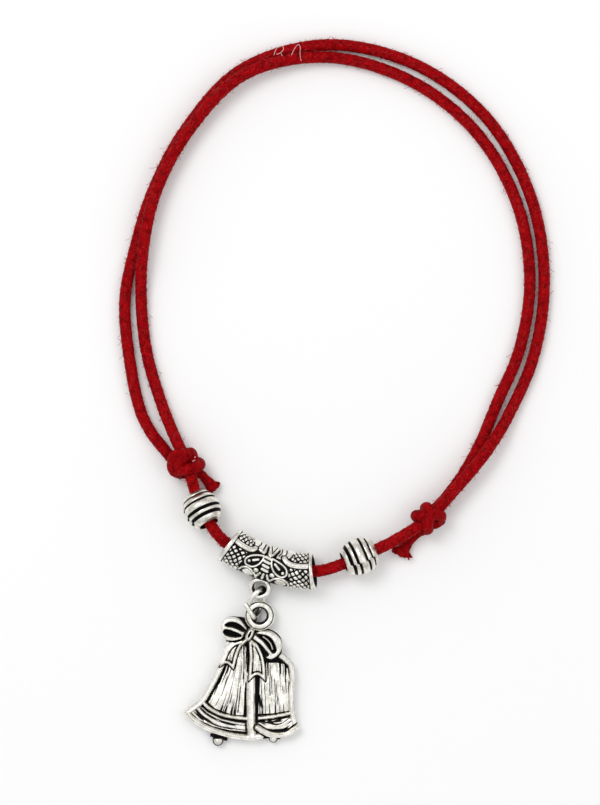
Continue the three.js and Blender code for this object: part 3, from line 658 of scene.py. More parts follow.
def build_bail():
    rows, inner, columns = BAIL_GRID["rows"], BAIL_GRID["inner"], BAIL_GRID["columns"]
    half, ground = BAIL_HALF_LENGTH, BAIL_LEVELS["ground"]
    rim, lip = half - BAIL["rim"], half - BAIL["lip"]
    u = np.linspace(-half, half, rows)
    turn = -np.pi + 2 * np.pi * np.arange(columns) / columns
    quarter = turn / (np.pi / 2)
    folded = np.where(np.abs(quarter) > 1, np.sign(quarter) * 2 - quarter, quarter)
    uu, ww = np.meshgrid(u, folded * QUARTER_TURN, indexing="ij")
    radius = bail_relief(uu, ww)
    cells = (0.16 / (2 * half / rows))
    patina = soft_step(blurred(radius, cells * 1.4) - radius, 0.0, 0.08)
    patina = np.maximum(patina, 1 - soft_step(radius, ground + 0.06, ground + 0.22))
    edge = BAIL["diameter"] / 2
    for end, top in ((-1, edge - BAIL["left_rim_step"]), (1, edge)):
        over = end * uu
        wall = soft_step(over, rim - 0.04, rim + 0.04)
        radius = radius * (1 - wall) + top * wall
        patina = patina * (1 - wall)
        patina = np.maximum(patina, 0.9 * (1 - soft_step(np.abs(over - rim + 0.09), 0.05, 0.11)))
        step = soft_step(over, lip - 0.03, lip + 0.03)
        radius = radius - step * BAIL["lip_step"] / 2
        patina = np.maximum(patina, 0.45 * (1 - soft_step(np.abs(over - lip), 0.02, 0.07)))
        radius = radius - 0.08 * soft_step(over, half - 0.09, half)
    uu, tt = np.meshgrid(np.concatenate([u, np.linspace(half, -half, inner)]), turn, indexing="ij")
    radius = np.vstack([radius, np.full((inner, columns), BAIL["bore"] / 2)])
    patina = np.vstack([patina, np.full((inner, columns), 0.85)])
    slant = BAIL["slant"] * soft_step(uu, 0.8 * half, half) * (0.85 * np.cos(tt) + 0.55 * np.sin(tt))
    points = around_bail(uu - slant, tt, radius).reshape(-1, 3)
    wire = BAIL_LOOP["wire"]
    # The loop's inner wall is darkened with patina and painted shade for the shadow in its hole; both go into the
    # patina attribute.
    loop, loop_faces, shade = eyelet((BAIL_LOOP["hole"] + wire) / 2, wire / 2, wire * 0.75, 72, 28, 0.7,
                                     sink=0.8, narrow=0.25, dark=(0.35, 0.8))
    loop = turned(loop, BAIL_LOOP["droop"], (1, 2)) + bail_loop_centre()
    faces = np.vstack([quads(rows + inner, columns, closed=True), loop_faces + len(points)])
    return make_mesh("bail_ornamented", place_bail(np.vstack([points, loop])), faces,
                     {"patina": np.concatenate([patina.ravel(), shade])})


bail = build_bail()
upper_hole = place_bail(bail_loop_centre())
lower_hole = upper_hole - (0, JUMP_RING["mean"] - JUMP_RING["slack"], 0)


def build_jump_ring():
    """An open wire ring through both holes; its cut ends stand side by side at the charm's ring."""
    parts = tube_parts(evenly(smooth_line(JUMP_RING_LINE), 0.1), JUMP_RING["wire"] / 2, 24, round_ends=False)
    return join_parts("jump_ring_open", [parts], {"patina": np.full(len(parts[0]), 0.06)})


jump_ring = build_jump_ring()

# The charm's forms: shares of its width and height from the origin
LEFT_EDGE = [
    (-0.14, 0.326), (-0.177, 0.231), (-0.223, 0.135), (-0.26, 0.072), (-0.307, 0.008), (-0.362, -0.066),
    (-0.437, -0.116), (-0.511, -0.153),
]
LEFT_LIP = [
    (-0.511, -0.153), (-0.464, -0.205), (-0.399, -0.246), (-0.307, -0.286), (-0.14, -0.33), (0.036, -0.349),
    (0.157, -0.341),
]
RIGHT_LIP = [(0.11, -0.279), (0.184, -0.314), (0.277, -0.334), (0.388, -0.323), (0.49, -0.271)]
RIGHT_EDGE = [
    (0.49, -0.271), (0.451, -0.19), (0.436, -0.057), (0.446, 0.09), (0.435, 0.164), (0.388, 0.212),
    (0.333, 0.245),
]
BOW_BACK = [
    (0.337, 0.297), (0.326, 0.348), (0.286, 0.385), (0.23, 0.408), (0.14, 0.425), (0.05, 0.45),
    (0.01, 0.487), (-0.05, 0.494), (-0.1, 0.495), (-0.155, 0.478), (-0.183, 0.44), (-0.184, 0.395),
    (-0.16, 0.35),
]
LEFT_BAND = [
    (-0.352, -0.076), (-0.294, -0.1235), (-0.235, -0.152), (-0.172, -0.172), (-0.05, -0.1916),
    (0.05, -0.198),
]
RIGHT_BAND = [(0.1, -0.195), (0.188, -0.192), (0.287, -0.181), (0.43, -0.157)]
MIDDLE_BAR = [(0.0686, 0.1), (0.0686, -0.184), (0.078, -0.325)]
LEFT_BODY = [
    (-0.1, 0.3), (-0.19, 0.15), (-0.26, 0.03), (-0.325, -0.075), (-0.24, -0.135), (-0.095, -0.176),
    (0.021, -0.184), (0.021, -0.034), (0.036, 0.06), (0.044, 0.19), (0.049, 0.259), (0.032, 0.297),
    (0.01, 0.305),
]
RIGHT_BODY = [
    (0.125, -0.172), (0.26, -0.168), (0.402, -0.15), (0.394, 0.005), (0.406, 0.063), (0.393, 0.14),
    (0.352, 0.18), (0.29, 0.19), (0.15, 0.188),
]
LEFT_SHOULDER = [(-0.085, 0.318), (-0.125, 0.282), (-0.152, 0.238), (-0.17, 0.204), (-0.18, 0.184)]
LEFT_RECESS = [
    (-0.462, -0.156), (-0.366, -0.1), (-0.294, -0.146), (-0.172, -0.1945), (-0.05, -0.214), (0.029, -0.222),
    (0.035, -0.298), (-0.111, -0.286), (-0.258, -0.26), (-0.38, -0.214),
]
RIGHT_RECESS = [
    (0.1086, -0.222), (0.194, -0.205), (0.316, -0.195), (0.42, -0.178), (0.462, -0.26), (0.365, -0.276),
    (0.255, -0.281), (0.145, -0.268),
]
BOW_LOOPS = [
    {
        "outline": [
            (0.043, 0.419), (-0.008, 0.469), (-0.06, 0.491), (-0.115, 0.493), (-0.158, 0.477),
            (-0.188, 0.443), (-0.193, 0.405), (-0.18, 0.366), (-0.15, 0.339), (-0.094, 0.33),
            (-0.034, 0.337), (-0.004, 0.347), (0.017, 0.378),
        ],
        "openings": [
            [
                (-0.145, 0.442), (-0.124, 0.453), (-0.094, 0.458), (-0.06, 0.453), (-0.021, 0.437),
                (0.009, 0.417), (0.028, 0.397), (-0.009, 0.404), (-0.051, 0.42), (-0.094, 0.431),
                (-0.133, 0.435),
            ],
            [
                (-0.162, 0.394), (-0.149, 0.407), (-0.12, 0.405), (-0.081, 0.395), (-0.043, 0.383),
                (-0.015, 0.368), (-0.043, 0.363), (-0.081, 0.363), (-0.12, 0.37), (-0.15, 0.38),
            ],
        ],
    },
    {
        "outline": [
            (0.111, 0.388), (0.145, 0.402), (0.197, 0.405), (0.248, 0.395), (0.291, 0.372), (0.327, 0.334),
            (0.335, 0.293), (0.321, 0.25), (0.286, 0.219), (0.239, 0.204), (0.201, 0.214), (0.194, 0.23),
            (0.218, 0.237), (0.188, 0.272), (0.145, 0.31), (0.103, 0.334), (0.083, 0.347),
        ],
        "openings": [
            [
                (0.115, 0.378), (0.154, 0.374), (0.201, 0.367), (0.244, 0.344), (0.269, 0.31),
                (0.282, 0.266), (0.263, 0.253), (0.239, 0.272), (0.209, 0.306), (0.175, 0.337),
                (0.141, 0.359),
            ],
        ],
    },
]
BOW_FOLD = [(0.175, 0.361), (0.209, 0.342), (0.239, 0.313), (0.256, 0.277)]
TAILS = [
    [
        [(-0.005, 0.34), (-0.085, 0.315), (-0.14, 0.267), (-0.17, 0.208), (-0.2, 0.151)],
        [(-0.2, 0.151), (-0.14, 0.178), (-0.077, 0.135)],
        [
            (-0.077, 0.135), (-0.068, 0.157), (-0.047, 0.225), (-0.017, 0.286), (0.008, 0.313),
            (0.03, 0.325),
        ],
    ],
    [
        [(0.05, 0.348), (0.053, 0.29), (0.058, 0.225), (0.054, 0.157), (0.047, 0.054)],
        [(0.047, 0.054), (0.122, 0.099), (0.196, 0.057)],
        [
            (0.196, 0.057), (0.192, 0.157), (0.178, 0.225), (0.158, 0.266), (0.125, 0.315), (0.095, 0.34),
        ],
    ],
]
BOW_CREASES = [
    [(-0.008, 0.313), (0.008, 0.324), (0.026, 0.338)],
    [(0.078, 0.33), (0.094, 0.314), (0.105, 0.3)],
]
BELL_GAP = [(0.118, 0.09), (0.117, -0.184), (0.109, -0.268)]
FAN_EDGE = [(-0.33, -0.14), (-0.135, -0.223), (-0.008, -0.307), (0.066, -0.362), (0.153, -0.45)]
BOW_KNOT = {"x": 0.06, "y": 0.377, "length": 2.45, "width": 1.3, "turn": 62.6}
CLAPPERS = [
    {"at": (-0.212, -0.349), "diameter": 1.7, "bar": [(-0.275, -0.312), (-0.135, -0.342)]},
    {"at": (0.261, -0.333), "diameter": 1.45, "bar": [(0.2, -0.322), (0.32, -0.33)]},
]
CHARM_LEVELS = {
    "ground": 1.12, "deep": 0.95, "body": 1.85, "recess": 1.6, "band": 2.05, "rim": 2.15, "bar": 2.3,
    "tail": 2.3, "tail_rim": 2.7, "bow": 2.95, "knot": 3.25,
}
RIM_WIDTHS = [(LEFT_EDGE, 0.92), (RIGHT_EDGE, 0.88), (LEFT_LIP, 1.04)]
CHARM_STEP = 0.06
EDGE_ROUNDING = 0.38
BACK_BEVEL = 0.12


def on_charm(points):
    return np.asarray(points, float) * (CHARM_WIDTH, CHARM_HEIGHT)


def charm_line(points):
    return smooth_line(on_charm(points), 8)


def inset(points, distance):
    """A line moved to its left by a distance in millimetres, in the charm's plane."""
    line = charm_line(points)
    way = np.gradient(line, axis=0)
    way /= np.linalg.norm(way, axis=1)[:, None]
    return line + np.stack([-way[:, 1], way[:, 0]], 1) * distance


def charm_outline():
    corners = [LEFT_EDGE, [LEFT_EDGE[-1], *LEFT_LIP[1:]], [LEFT_LIP[-1], *RIGHT_LIP[2:]],
               [RIGHT_LIP[-1], *RIGHT_EDGE[1:]], [RIGHT_EDGE[-1], *BOW_BACK], [BOW_BACK[-1], LEFT_EDGE[0]]]
    return np.vstack([charm_line(p)[:-1] for p in corners])


def streaks(across, along, fine, long, seed):
    """Smooth random streaks from 0 to 1: fine is how many a millimetre holds, long their length."""
    table = np.random.default_rng(seed).random((512, 128))
    a, b = across * fine + 200, along / long + 50
    i, j = np.floor(a).astype(int), np.floor(b).astype(int)
    u, v = a - i, b - j
    u, v = u * u * (3 - 2 * u), v * v * (3 - 2 * v)
    pick = lambda di, dj: table[(i + di) % 512, (j + dj + 7 * (i + di)) % 128]
    return ((pick(0, 0) * (1 - v) + pick(0, 1) * v) * (1 - u)
            + (pick(1, 0) * (1 - v) + pick(1, 1) * v) * u)


def brushed(across, along, seed, fine=7.6, long=3.2, more=0.0):
    """How strongly each place is scratched, from 0 to 1; more adds scratches."""
    coarse = streaks(across, along, fine, long, seed)
    narrow = streaks(across, along, 1.3 * fine, 0.5 * long, seed + 1)
    return soft_step(0.55 * coarse + 0.45 * narrow + more, 0.53, 0.65)


def charm_relief(x, y):
    """The charm's face in its plane: its height and how dark it is."""
    levels, ground = CHARM_LEVELS, CHARM_LEVELS["ground"]
    relief = Relief(x, y, ground)
    fan = (x / CHARM_WIDTH - 0.05) / (0.05 - np.interp(-y / CHARM_HEIGHT, *zip(*FAN_EDGE)))
    left = np.minimum(relief.depth(on_charm(LEFT_BODY)), relief.distance(inset(LEFT_EDGE, 0), 20) - 1.12)
    right = relief.depth(on_charm(RIGHT_BODY))
    for depth, guide, seed, worn in ((left, fan * 6.4, 5, 0.06), (right, x + 0.03 * y, 13, 0.03)):
        edge = 1 - soft_step(depth, 0.1, 1.6)
        scratch = brushed(guide, y, seed, more=worn * edge + 0.05 * soft_step(y, -1.0, 4.0) - 0.02)
        dome = levels["body"] - ground + 0.28 * soft_step(depth, 0, 3.0)
        relief.lift(depth > -0.05, ground + dome * soft_step(depth, -0.05, 0.2) - 0.1 * scratch)
        relief.stain(depth > -0.05, scratch * (0.8 + 0.2 * edge))
    for outline, guide, seed in ((LEFT_RECESS, LEFT_BAND, 17), (RIGHT_RECESS, RIGHT_LIP, 23)):
        depth = relief.depth(on_charm(outline))
        far, along, _ = nearest_on(charm_line(guide), x, y, 6)
        scratch = brushed(far - 0.05 * along, along, seed, 5.4, 3.6, 0.035)
        field = ground + (levels["recess"] - ground + 0.3 - 0.22 * scratch) * soft_step(depth, 0.1, 0.26)
        relief.put(depth > 0, np.maximum(ground, field))
        relief.stain(depth > 0, scratch)
    for line, width in RIM_WIDTHS:
        relief.ridge(inset(line, width / 2), width, levels["rim"], 0.4)
    relief.engrave(inset(LEFT_LIP, 0.36), 0.2, 0.22)
    for band in (LEFT_BAND, RIGHT_BAND):
        relief.ridge(charm_line(band), 0.66, levels["band"], 0.4)
    relief.engrave(on_charm(BELL_GAP), 0.6, 1.2)
    relief.height = np.maximum(relief.height, ground - 0.1)
    relief.ridge(on_charm(MIDDLE_BAR), 1.5, levels["bar"], 0.35)
    relief.put(relief.distance(inset(RIGHT_LIP, 0.5), 1.4) < 0.66, ground)
    relief.ridge(inset(RIGHT_LIP, 0.5), 1.02, levels["rim"], 0.4)
    relief.engrave(inset(RIGHT_LIP[1:], 0.62), 0.24, 0.3)
    sheet = brushed(x, y, 41, 5.6, 1.8, -0.02)
    for tail in TAILS:
        depth = relief.depth(np.vstack([smooth_line(on_charm(side), 6)[:-1] for side in tail]))
        relief.clear(depth > -0.15)
        rim = np.clip(1 - (np.abs(depth - 0.26) / 0.27) ** 4, 0, 1) ** 0.5
        relief.put(depth > -0.02, ground + (levels["tail_rim"] - ground) * rim)
        inner = ground + (levels["tail"] - ground - 0.1 * sheet) * soft_step(depth, 0.6, 0.68)
        relief.put(depth > 0.52, inner)
        relief.stain(depth > 0.62, 0.6 * sheet)
    relief.ridge(charm_line(LEFT_SHOULDER), 0.95, levels["tail_rim"], 0.3)
    for loop in BOW_LOOPS:
        depth = relief.depth(closed_line(on_charm(loop["outline"])))
        relief.clear(depth > -0.16)
        hollow = np.max([relief.depth(closed_line(on_charm(hole))) for hole in loop["openings"]], axis=0)
        lift = soft_step(np.minimum(depth, -hollow), -0.03, 0.2) ** 0.6
        relief.lift(depth > 0, ground + (levels["bow"] - ground) * lift)
        relief.put(hollow > 0, levels["deep"])
    fold = relief.distance(charm_line(BOW_FOLD), 0.5)
    relief.mound(fold, 0.36, levels["bow"] - 0.1, 0.4, levels["deep"])
    relief.stain(fold < 0.2, 0)
    spun = turned(np.stack([x, y], -1) - on_charm((BOW_KNOT["x"], BOW_KNOT["y"])), -BOW_KNOT["turn"])
    a, b = spun[..., 0], spun[..., 1]
    oval = np.hypot(a / (BOW_KNOT["length"] / 2), b / (BOW_KNOT["width"] / 2))
    relief.clear(oval < 1.12)
    for crease in BOW_CREASES:
        relief.ridge(on_charm(crease), 0.74, levels["bow"], 0.4)
    knot = ground + (levels["knot"] - ground) * np.clip(1 - oval**4, 0, 1) ** 0.35
    relief.lift(oval < 1, knot - 1.9 * soft_step(1 - np.hypot(a / 0.62, b / 0.2), 0, 0.4))
    return np.maximum(relief.height, levels["deep"]), relief.dark


def build_charm():
    outline = charm_outline()
    low, high = outline.min(0) - 0.2, outline.max(0) + 0.2
    x, y = np.meshgrid(np.arange(low[0], high[0], CHARM_STEP), np.arange(low[1], high[1], CHARM_STEP))
    depth = inside_depth(outline, x, y)
    height, dark = charm_relief(x, y)
    ground = CHARM_LEVELS["ground"]
    patina = soft_step(blurred(height, 0.2 / CHARM_STEP) - height, 0.02, 0.3) * soft_step(depth, 0.05, 0.3)
    patina = np.maximum(patina, 1 - soft_step(height, ground + 0.05, ground + 0.35))
    patina = np.maximum(patina, 0.85 * dark)
    shoulder = np.clip(depth / EDGE_ROUNDING, 0, 1)
    height = np.where(depth < EDGE_ROUNDING, height - 0.45 * (1 - np.sqrt(1 - (1 - shoulder) ** 2)), height)
    keep = depth > 0
    cell = keep[:-1, :-1] | keep[1:, :-1] | keep[:-1, 1:] | keep[1:, 1:]
    used = np.zeros(x.shape, bool)
    for di in (0, 1):
        for dj in (0, 1):
            used[di:di + cell.shape[0], dj:dj + cell.shape[1]] |= cell
    gy, gx = np.gradient(depth, CHARM_STEP)
    norm = np.maximum(np.hypot(gx, gy), 1e-6)
    outside = used & ~keep
    x = np.where(outside, x - depth * gx / norm, x)
    y = np.where(outside, y - depth * gy / norm, y)
    height = np.where(outside, np.minimum(height, 1.65), height)
    index = np.full(x.shape, -1)
    index[used] = np.arange(used.sum())
    i, j = np.nonzero(cell)
    faces = np.stack([index[i, j], index[i, j + 1], index[i + 1, j + 1], index[i + 1, j]], 1)
    points = np.stack([x[used], y[used], height[used]], 1)
    # The border, where an edge has no face on its other side, goes down to the back
    pairs = np.vstack([faces[:, [k, (k + 1) % 4]] for k in range(4)])
    edges = dict.fromkeys(map(tuple, pairs.tolist()))
    follow = {a: b for a, b in edges if (b, a) not in edges}
    start = next(iter(follow))
    loop = [start]
    while follow[loop[-1]] != start:
        loop.append(follow[loop[-1]])
    loop = np.array(loop)
    count, n = len(points), len(loop)
    wall = points[loop].copy()
    wall[:, 2] = 0.25
    foot = wall.copy()
    foot[:, 2] = 0.0
    tow = outline.mean(0) - foot[:, :2]
    foot[:, :2] += BACK_BEVEL * tow / np.linalg.norm(tow, axis=1)[:, None]
    k = np.arange(n)
    m = (k + 1) % n
    faces = [*faces, *np.stack([loop[k], count + k, count + m, loop[m]], 1),
             *np.stack([count + k, count + n + k, count + n + m, count + m], 1), count + 2 * n - 1 - k]
    points = np.vstack([points, wall, foot])
    values = np.concatenate([patina[used], np.full(2 * n, 0.1)])

    def add(new_points, new_faces, new_values):
        nonlocal points, faces, values
        faces += [f + len(points) for f in new_faces]
        points = np.vstack([points, new_points])
        values = np.concatenate([values, np.broadcast_to(new_values, len(new_points))])

    wall_thick = (CHARM_RING["outer"] - CHARM_RING["hole"]) / 4
    # The ring's inner wall is darkened with patina and painted shade for the shadow in its hole; its groove is an
    # engraved dark line.
    ring, ring_faces, shade = eyelet(CHARM_RING["hole"] / 2 + wall_thick, wall_thick, wall_thick * 1.1, 96, 40,
                                     0.6, sink=0.75, narrow=0.3, dark=(0.45, 0.75), groove=0.13)
    ring_at = np.array([*on_charm(RING_PLACE), CHARM_RING["height"]])
    add(ring + ring_at, ring_faces, shade)
    neck_line = ring_at + np.array([(0, -1.5, -0.2), (-0.1, -2.0, -0.35), (-0.2, -2.6, -0.5)])
    add(*tube_parts(smooth_line(neck_line, 6), 0.72, 20)[:2], 0.75)
    for clapper in CLAPPERS:
        radius = clapper["diameter"] / 2
        ball, ball_faces = ball_parts(radius, 36, 24)
        edge = soft_step(np.hypot(ball[:, 0], ball[:, 1]) / radius, 0.66, 0.9)
        add(ball + (*on_charm(clapper["at"]), radius), ball_faces,
            np.maximum(edge, soft_step(ball[:, 1] / radius, 0.1, 0.5)))
        bar = np.array([(*on_charm(end), 0.95) for end in clapper["bar"]])
        add(*tube_parts(evenly(bar, 0.3), 0.28, 16)[:2], 0.95)
    offset = lower_hole - ring_at
    return make_mesh("charm_bells", points + (offset[0], offset[1], 0), faces, {"patina": values})


def ball_parts(radius, around, rows):
    """A ball as points and faces."""
    lat = np.linspace(-np.pi / 2, np.pi / 2, rows + 1)[1:-1]
    lon = 2 * np.pi * np.arange(around) / around
    grid = np.stack([np.cos(lat)[:, None] * np.cos(lon), np.cos(lat)[:, None] * np.sin(lon),
                     np.broadcast_to(np.sin(lat)[:, None], (len(lat), around))], -1).reshape(-1, 3)
    points = np.vstack([grid, (0, 0, -1), (0, 0, 1)]) * radius
    n = len(grid)
    j = np.arange(around)
    k = (j + 1) % around
    faces = [*quads(len(lat), around), *np.stack([np.full(around, n), k, j], 1),
             *np.stack([np.full(around, n + 1), n - around + j, n - around + k], 1)]
    return points, faces


charm = build_charm()

# Loose fibres on the cord, a little lint, and pale specks on the left knot that are painted highlights. The places
# of the lint and the specks are in the photograph's frame, with a height in millimetres
HAIRS = 2600
HAIR_RADII = (0.022, 0.038)
PIXELS_PER_MM = 6.5
PHOTO_ORIGIN = (243, 690)
CURL = [
    (274.0, 56.4, 4.0), (275.2, 52.6, 4.4), (277.2, 49.2, 4.6), (280.4, 47.2, 4.7), (283.0, 48.0, 4.7),
    (283.6, 50.6, 4.7), (281.6, 53.6, 4.8), (278.4, 55.4, 4.8), (276.4, 55.9, 4.6),
]
CURL_END = [(281.2, 55.0, 4.6), (281.9, 56.2, 4.6), (282.1, 57.2, 4.4)]
PIN = [
    (291.4, 56.2, 4.0), (293.6, 51.2, 3.4), (296.2, 46.6, 2.6), (298.8, 44.6, 2.6), (300.2, 47.6, 2.8),
    (300.0, 54.0, 3.8), (300.6, 59.6, 3.2), (302.4, 62.4, 1.7),
]
HIGHLIGHT_SPECKS = [
    (189.0, 453.3, 4.72), (195.4, 457.0, 4.5), (193.4, 461.0, 4.5), (194.8, 460.2, 4.4),
    (195.6, 462.0, 4.4),
]


def fibre(points, radius, sides=3):
    return tube_parts(smooth_line(points, 3), radius, sides, round_ends=False)


def build_fuzz():
    parts = []
    tangent, side, up = frames_along(cord_line)
    for _ in range(HAIRS):
        i = int(rng.integers(8, len(cord_line) - 8))
        angle = rng.uniform(0, 2 * np.pi)
        out = math.cos(angle) * side[i] + math.sin(angle) * up[i]
        if out[2] < -0.3:
            out[2] *= -1
        start = cord_line[i] + out * CORD_DIAMETER / 2 * 0.96
        way = tangent[i] * rng.choice([-1, 1])
        size = rng.gamma(2.0, 0.17) + 0.2
        bend = np.cross(out, way) * rng.normal(0, 0.3)
        points = np.array([start, start + size * (0.25 * out + 0.4 * way + 0.2 * bend),
                           start + size * (0.6 * out + 0.65 * way + 0.7 * bend)])
        points[:, 2] = np.maximum(points[:, 2], 0.05)
        parts.append(fibre(points, rng.uniform(*HAIR_RADII)))
    return join_parts("cord_fuzz", parts)


def photo_line(points):
    """Places given in the photograph's frame, in millimetres."""
    return [((px - PHOTO_ORIGIN[0]) / PIXELS_PER_MM, (PHOTO_ORIGIN[1] - py) / PIXELS_PER_MM, z)
            for px, py, z in points]


def build_fluff_and_highlights():
    """Two curls of lint on the upper strands, and pale specks on the left knot as painted highlights."""
    parts = [fibre(photo_line(line), radius, 6) for line, radius in ((CURL, 0.04), (CURL_END, 0.04), (PIN, 0.036))]
    # Pale specks on the tops of the left knot's windings: painted highlights.
    for x, y, z in HIGHLIGHT_SPECKS:
        highlight_speck = [(x + dx, y + dy, z) for dx, dy in ((-0.4, 0.2), (0.1, -0.2), (0.5, 0.2))]
        parts.append(fibre(photo_line(highlight_speck), 0.07, 8))
    return join_parts("cord_fluff_and_highlights", parts)


fuzz = build_fuzz()
fluff_and_highlights = build_fluff_and_highlights()


# Materials
class Nodes:
    """Short ways to add nodes to a tree; an input takes a constant or another node's output."""

    def __init__(self, tree):
        self.tree = tree

    def feed(self, made, inputs):
        for key, value in inputs.items():
            if isinstance(value, bpy.types.NodeSocket):
                self.tree.links.new(value, made.inputs[key])
            else:
                made.inputs[key].default_value = value

    def add(self, kind, inputs=None, **settings):
        made = self.tree.nodes.new(kind)
        for key, value in settings.items():
            setattr(made, key, value)
        self.feed(made, inputs or {})
        return made.outputs

    def place(self):
        return self.add("ShaderNodeTexCoord")["Object"]

    def noise(self, vector, scale, detail=3.0):
        return self.add("ShaderNodeTexNoise", {"Vector": vector, "Scale": scale, "Detail": detail})[0]

    def math(self, kind, a, b):
        return self.add("ShaderNodeMath", {0: a, 1: b}, operation=kind)[0]

    def times(self, a, b):
        return self.math("MULTIPLY", a, b)

    def plus(self, a, b):
        return self.math("ADD", a, b)

    def mixed(self, share, low, high):
        return self.add("ShaderNodeMix", {0: share, 6: low, 7: high}, data_type="RGBA")[2]

    def bump(self, height, strength, distance):
        return self.add("ShaderNodeBump", {"Strength": strength, "Distance": distance, "Height": height})[0]

    def ramp(self, value, stops):
        made = self.tree.nodes.new("ShaderNodeValToRGB")
        while len(made.color_ramp.elements) < len(stops):
            made.color_ramp.elements.new(0.5)
        for element, (at, shade) in zip(made.color_ramp.elements, stops):
            element.position = at
            element.color = (shade, shade, shade, 1)
        self.feed(made, {0: value})
        return made.outputs[0]


def material(name):
    made = bpy.data.materials.new(name)
    made.use_nodes = True
    return made, Nodes(made.node_tree), made.node_tree.nodes["Principled BSDF"]


def waxed_cord(name, depth):
    """Waxed twisted cotton: fine slanting fibres, a soft gloss and paler worn fibres."""
    made, nodes, shader = material(name)
    # depth scales every colour; the knots' darker copy uses it for painted shade.
    tint = lambda *colour: (*(depth * part for part in colour), 1)
    parts = nodes.add("ShaderNodeSeparateXYZ", {0: nodes.add("ShaderNodeUVMap", uv_map="UVMap")[0]})
    turn, along = parts[0], parts[1]
    wind = nodes.plus(nodes.times(along, 0.42), turn)
    wave = nodes.math("SINE", nodes.times(wind, 2 * math.pi * 9), 0)
    where = nodes.place()
    coarse = nodes.noise(where, 1100.0, 5.0)
    fine = nodes.noise(where, 4200.0, 4.0)
    joined = nodes.add("ShaderNodeCombineXYZ", {0: nodes.times(wind, 30.0), 1: nodes.times(along, 1.2)})[0]
    strands = nodes.noise(joined, 1.0, 4.0)
    height = nodes.plus(nodes.plus(nodes.times(wave, 0.22), nodes.times(strands, 1.3)), nodes.times(fine, 0.5))
    shade = nodes.ramp(strands, [(0.36, 0.0), (0.64, 1.0)])
    colour = nodes.mixed(shade, tint(0.16, 0.0003, 0.0014), tint(0.42, 0.001, 0.0036))
    pale = nodes.ramp(fine, [(0.54, 0.0), (0.7, 0.8)])
    colour = nodes.mixed(pale, colour, tint(0.56, 0.012, 0.018))
    patches = nodes.ramp(coarse, [(0.46, 0.0), (0.68, 0.65)])
    colour = nodes.mixed(patches, colour, tint(0.09, 0.0002, 0.0008))
    gloss = nodes.ramp(coarse, [(0.3, 0.46), (0.7, 0.66)])
    nodes.feed(shader, {"Base Color": colour, "Roughness": gloss, "Specular IOR Level": 0.03,
                        "Normal": nodes.bump(height, 0.55, 0.00006)})
    return made


def antique_silver(name, bright=(0.97, 0.955, 0.9, 1), dark=(0.012, 0.011, 0.011, 1)):
    """Polished silver plate with blackened recesses, told apart by the patina attribute, which also carries
    painted shade on the inner walls of the hanging loop and the charm's ring.
    """
    made, nodes, shader = material(name)
    patina = nodes.add("ShaderNodeAttribute", attribute_name="patina")["Fac"]
    where = nodes.place()
    smudge = nodes.noise(where, 900.0, 4.0)
    grain = nodes.noise(where, 4200.0, 4.0)
    spread = nodes.plus(patina, nodes.times(nodes.math("SUBTRACT", grain, 0.5), 0.25))
    share = nodes.ramp(spread, [(0.22, 0.0), (0.72, 1.0)])
    tone = nodes.ramp(nodes.times(nodes.plus(smudge, grain), 0.5), [(0.45, 0.0), (0.59, 1.0)])
    metal = nodes.mixed(tone, bright, (bright[0] * 0.7, bright[1] * 0.69, bright[2] * 0.65, 1))
    nodes.feed(shader, {"Base Color": nodes.mixed(share, metal, dark), "Metallic": 1.0,
                        "Roughness": nodes.ramp(spread, [(0.2, 0.3), (0.7, 0.6)]),
                        "Normal": nodes.bump(grain, 0.25, 0.00002)})
    return made


def plain(name, light, deep, scale, **more):
    """Two close tones in soft patches."""
    made, nodes, shader = material(name)
    tone = nodes.noise(nodes.place(), scale)
    nodes.feed(shader, {"Base Color": nodes.mixed(tone, light, deep), **more})
    return made


cotton = waxed_cord("waxed_cord", 0.97)
# A darker copy of the cord material for the knots: painted shade for the shade within the knots.
shaded_cotton = waxed_cord("waxed_cord_shaded", 0.86)
silver = antique_silver("antique_silver")
worn_silver = antique_silver("antique_silver_worn", (0.9, 0.88, 0.81, 1))
# One pale material for the lint and for the painted highlight specks on the left knot.
pale = plain("fluff_and_highlights", (0.86, 0.66, 0.63, 1), (0.7, 0.42, 0.4, 1), 2500.0, Roughness=0.8)
red_hair = plain("red_hair", (0.5, 0.025, 0.025, 1), (0.36, 0.006, 0.008, 1), 2500.0, Roughness=0.8)
table_top = plain("table_top", (0.885, 0.885, 0.885, 1), (0.9, 0.9, 0.9, 1), 6.0,
                  **{"Roughness": 0.9, "Specular IOR Level": 0.1})


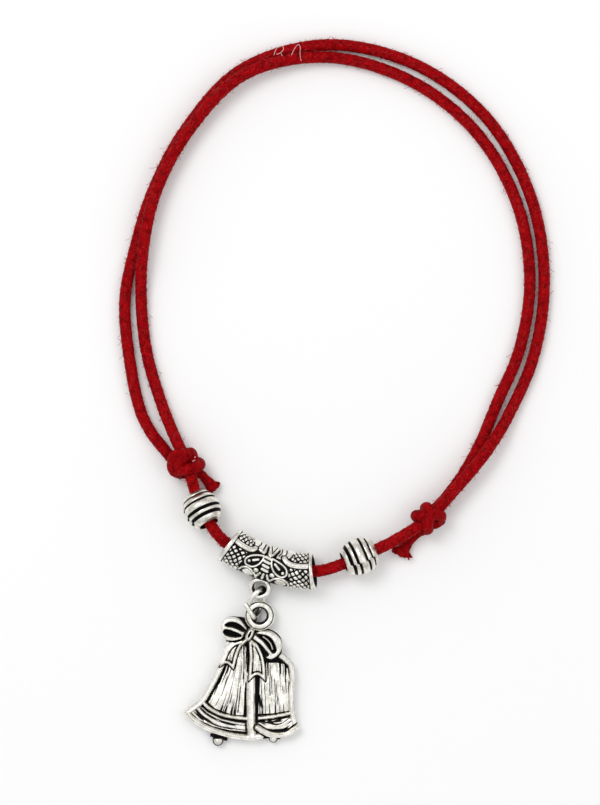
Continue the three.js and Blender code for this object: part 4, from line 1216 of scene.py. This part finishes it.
def dress(shape, look, slot, *replaced):
    shape.data.materials.clear()
    shape.data.materials.append(look)
    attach(shape, "root")
    if replaced:
        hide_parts(*replaced)


dress(cord, cotton, "waxed_cord", "cord")
# The knots take the darker copy of the cord material, as painted shade.
for name, shape in knots.items():
    dress(shape, shaded_cotton, "waxed_cord", name)
dress(fuzz, red_hair, "waxed_cord")
dress(fluff_and_highlights, pale, "waxed_cord")
for name, shape in beads.items():
    dress(shape, worn_silver, "antique_silver", name)
dress(bail, silver, "antique_silver", "bail")
dress(jump_ring, silver, "antique_silver", "jump_ring")
dress(charm, silver, "antique_silver", "charm")

# The table, the light and the surroundings; a light has a place in metres, a size and a power
TABLE_RADIUS = 900.0
LIGHT_AIM = (0.01, 0.04, 0)
LIGHTS = {"key": ((-0.22, 0.28, 0.55), 0.3, 1.2), "fill": ((0.35, 0.0, 0.45), 0.4, 0.25)}
SKY = [(0.0, 0.66), (0.4, 0.72), (0.7, 0.92), (0.9, 1.0), (1.0, 1.0)]
SKY_STRENGTH = 0.93


def build_stage():
    turn = 2 * np.pi * np.arange(64) / 64
    rim = np.stack([TABLE_RADIUS * np.cos(turn), TABLE_RADIUS * np.sin(turn), np.full(64, -0.02)], 1)
    table = make_mesh("table", rim + (*FRAME_CENTRE, 0), [np.arange(64)], smooth=False)
    table.data.materials.append(table_top)


def add_light(name, place, size, power):
    data = bpy.data.lights.new(name, "AREA")
    data.shape = "DISK"
    data.size = size
    data.energy = power
    lamp = bpy.data.objects.new(name, data)
    lamp.location = place
    lamp.rotation_euler = (Vector(LIGHT_AIM) - Vector(place)).to_track_quat("-Z", "Y").to_euler()
    bpy.context.scene.collection.objects.link(lamp)


def build_surroundings():
    world = bpy.data.worlds.new("studio")
    bpy.context.scene.world = world
    world.use_nodes = True
    nodes = Nodes(world.node_tree)
    parts = nodes.add("ShaderNodeSeparateXYZ", {0: nodes.add("ShaderNodeTexCoord")["Generated"]})
    nodes.feed(world.node_tree.nodes["Background"], {0: nodes.ramp(parts[2], SKY), 1: SKY_STRENGTH})


build_stage()
build_surroundings()
for name, light in LIGHTS.items():
    add_light(name, *light)
bpy.context.scene.view_settings.view_transform = "Standard"
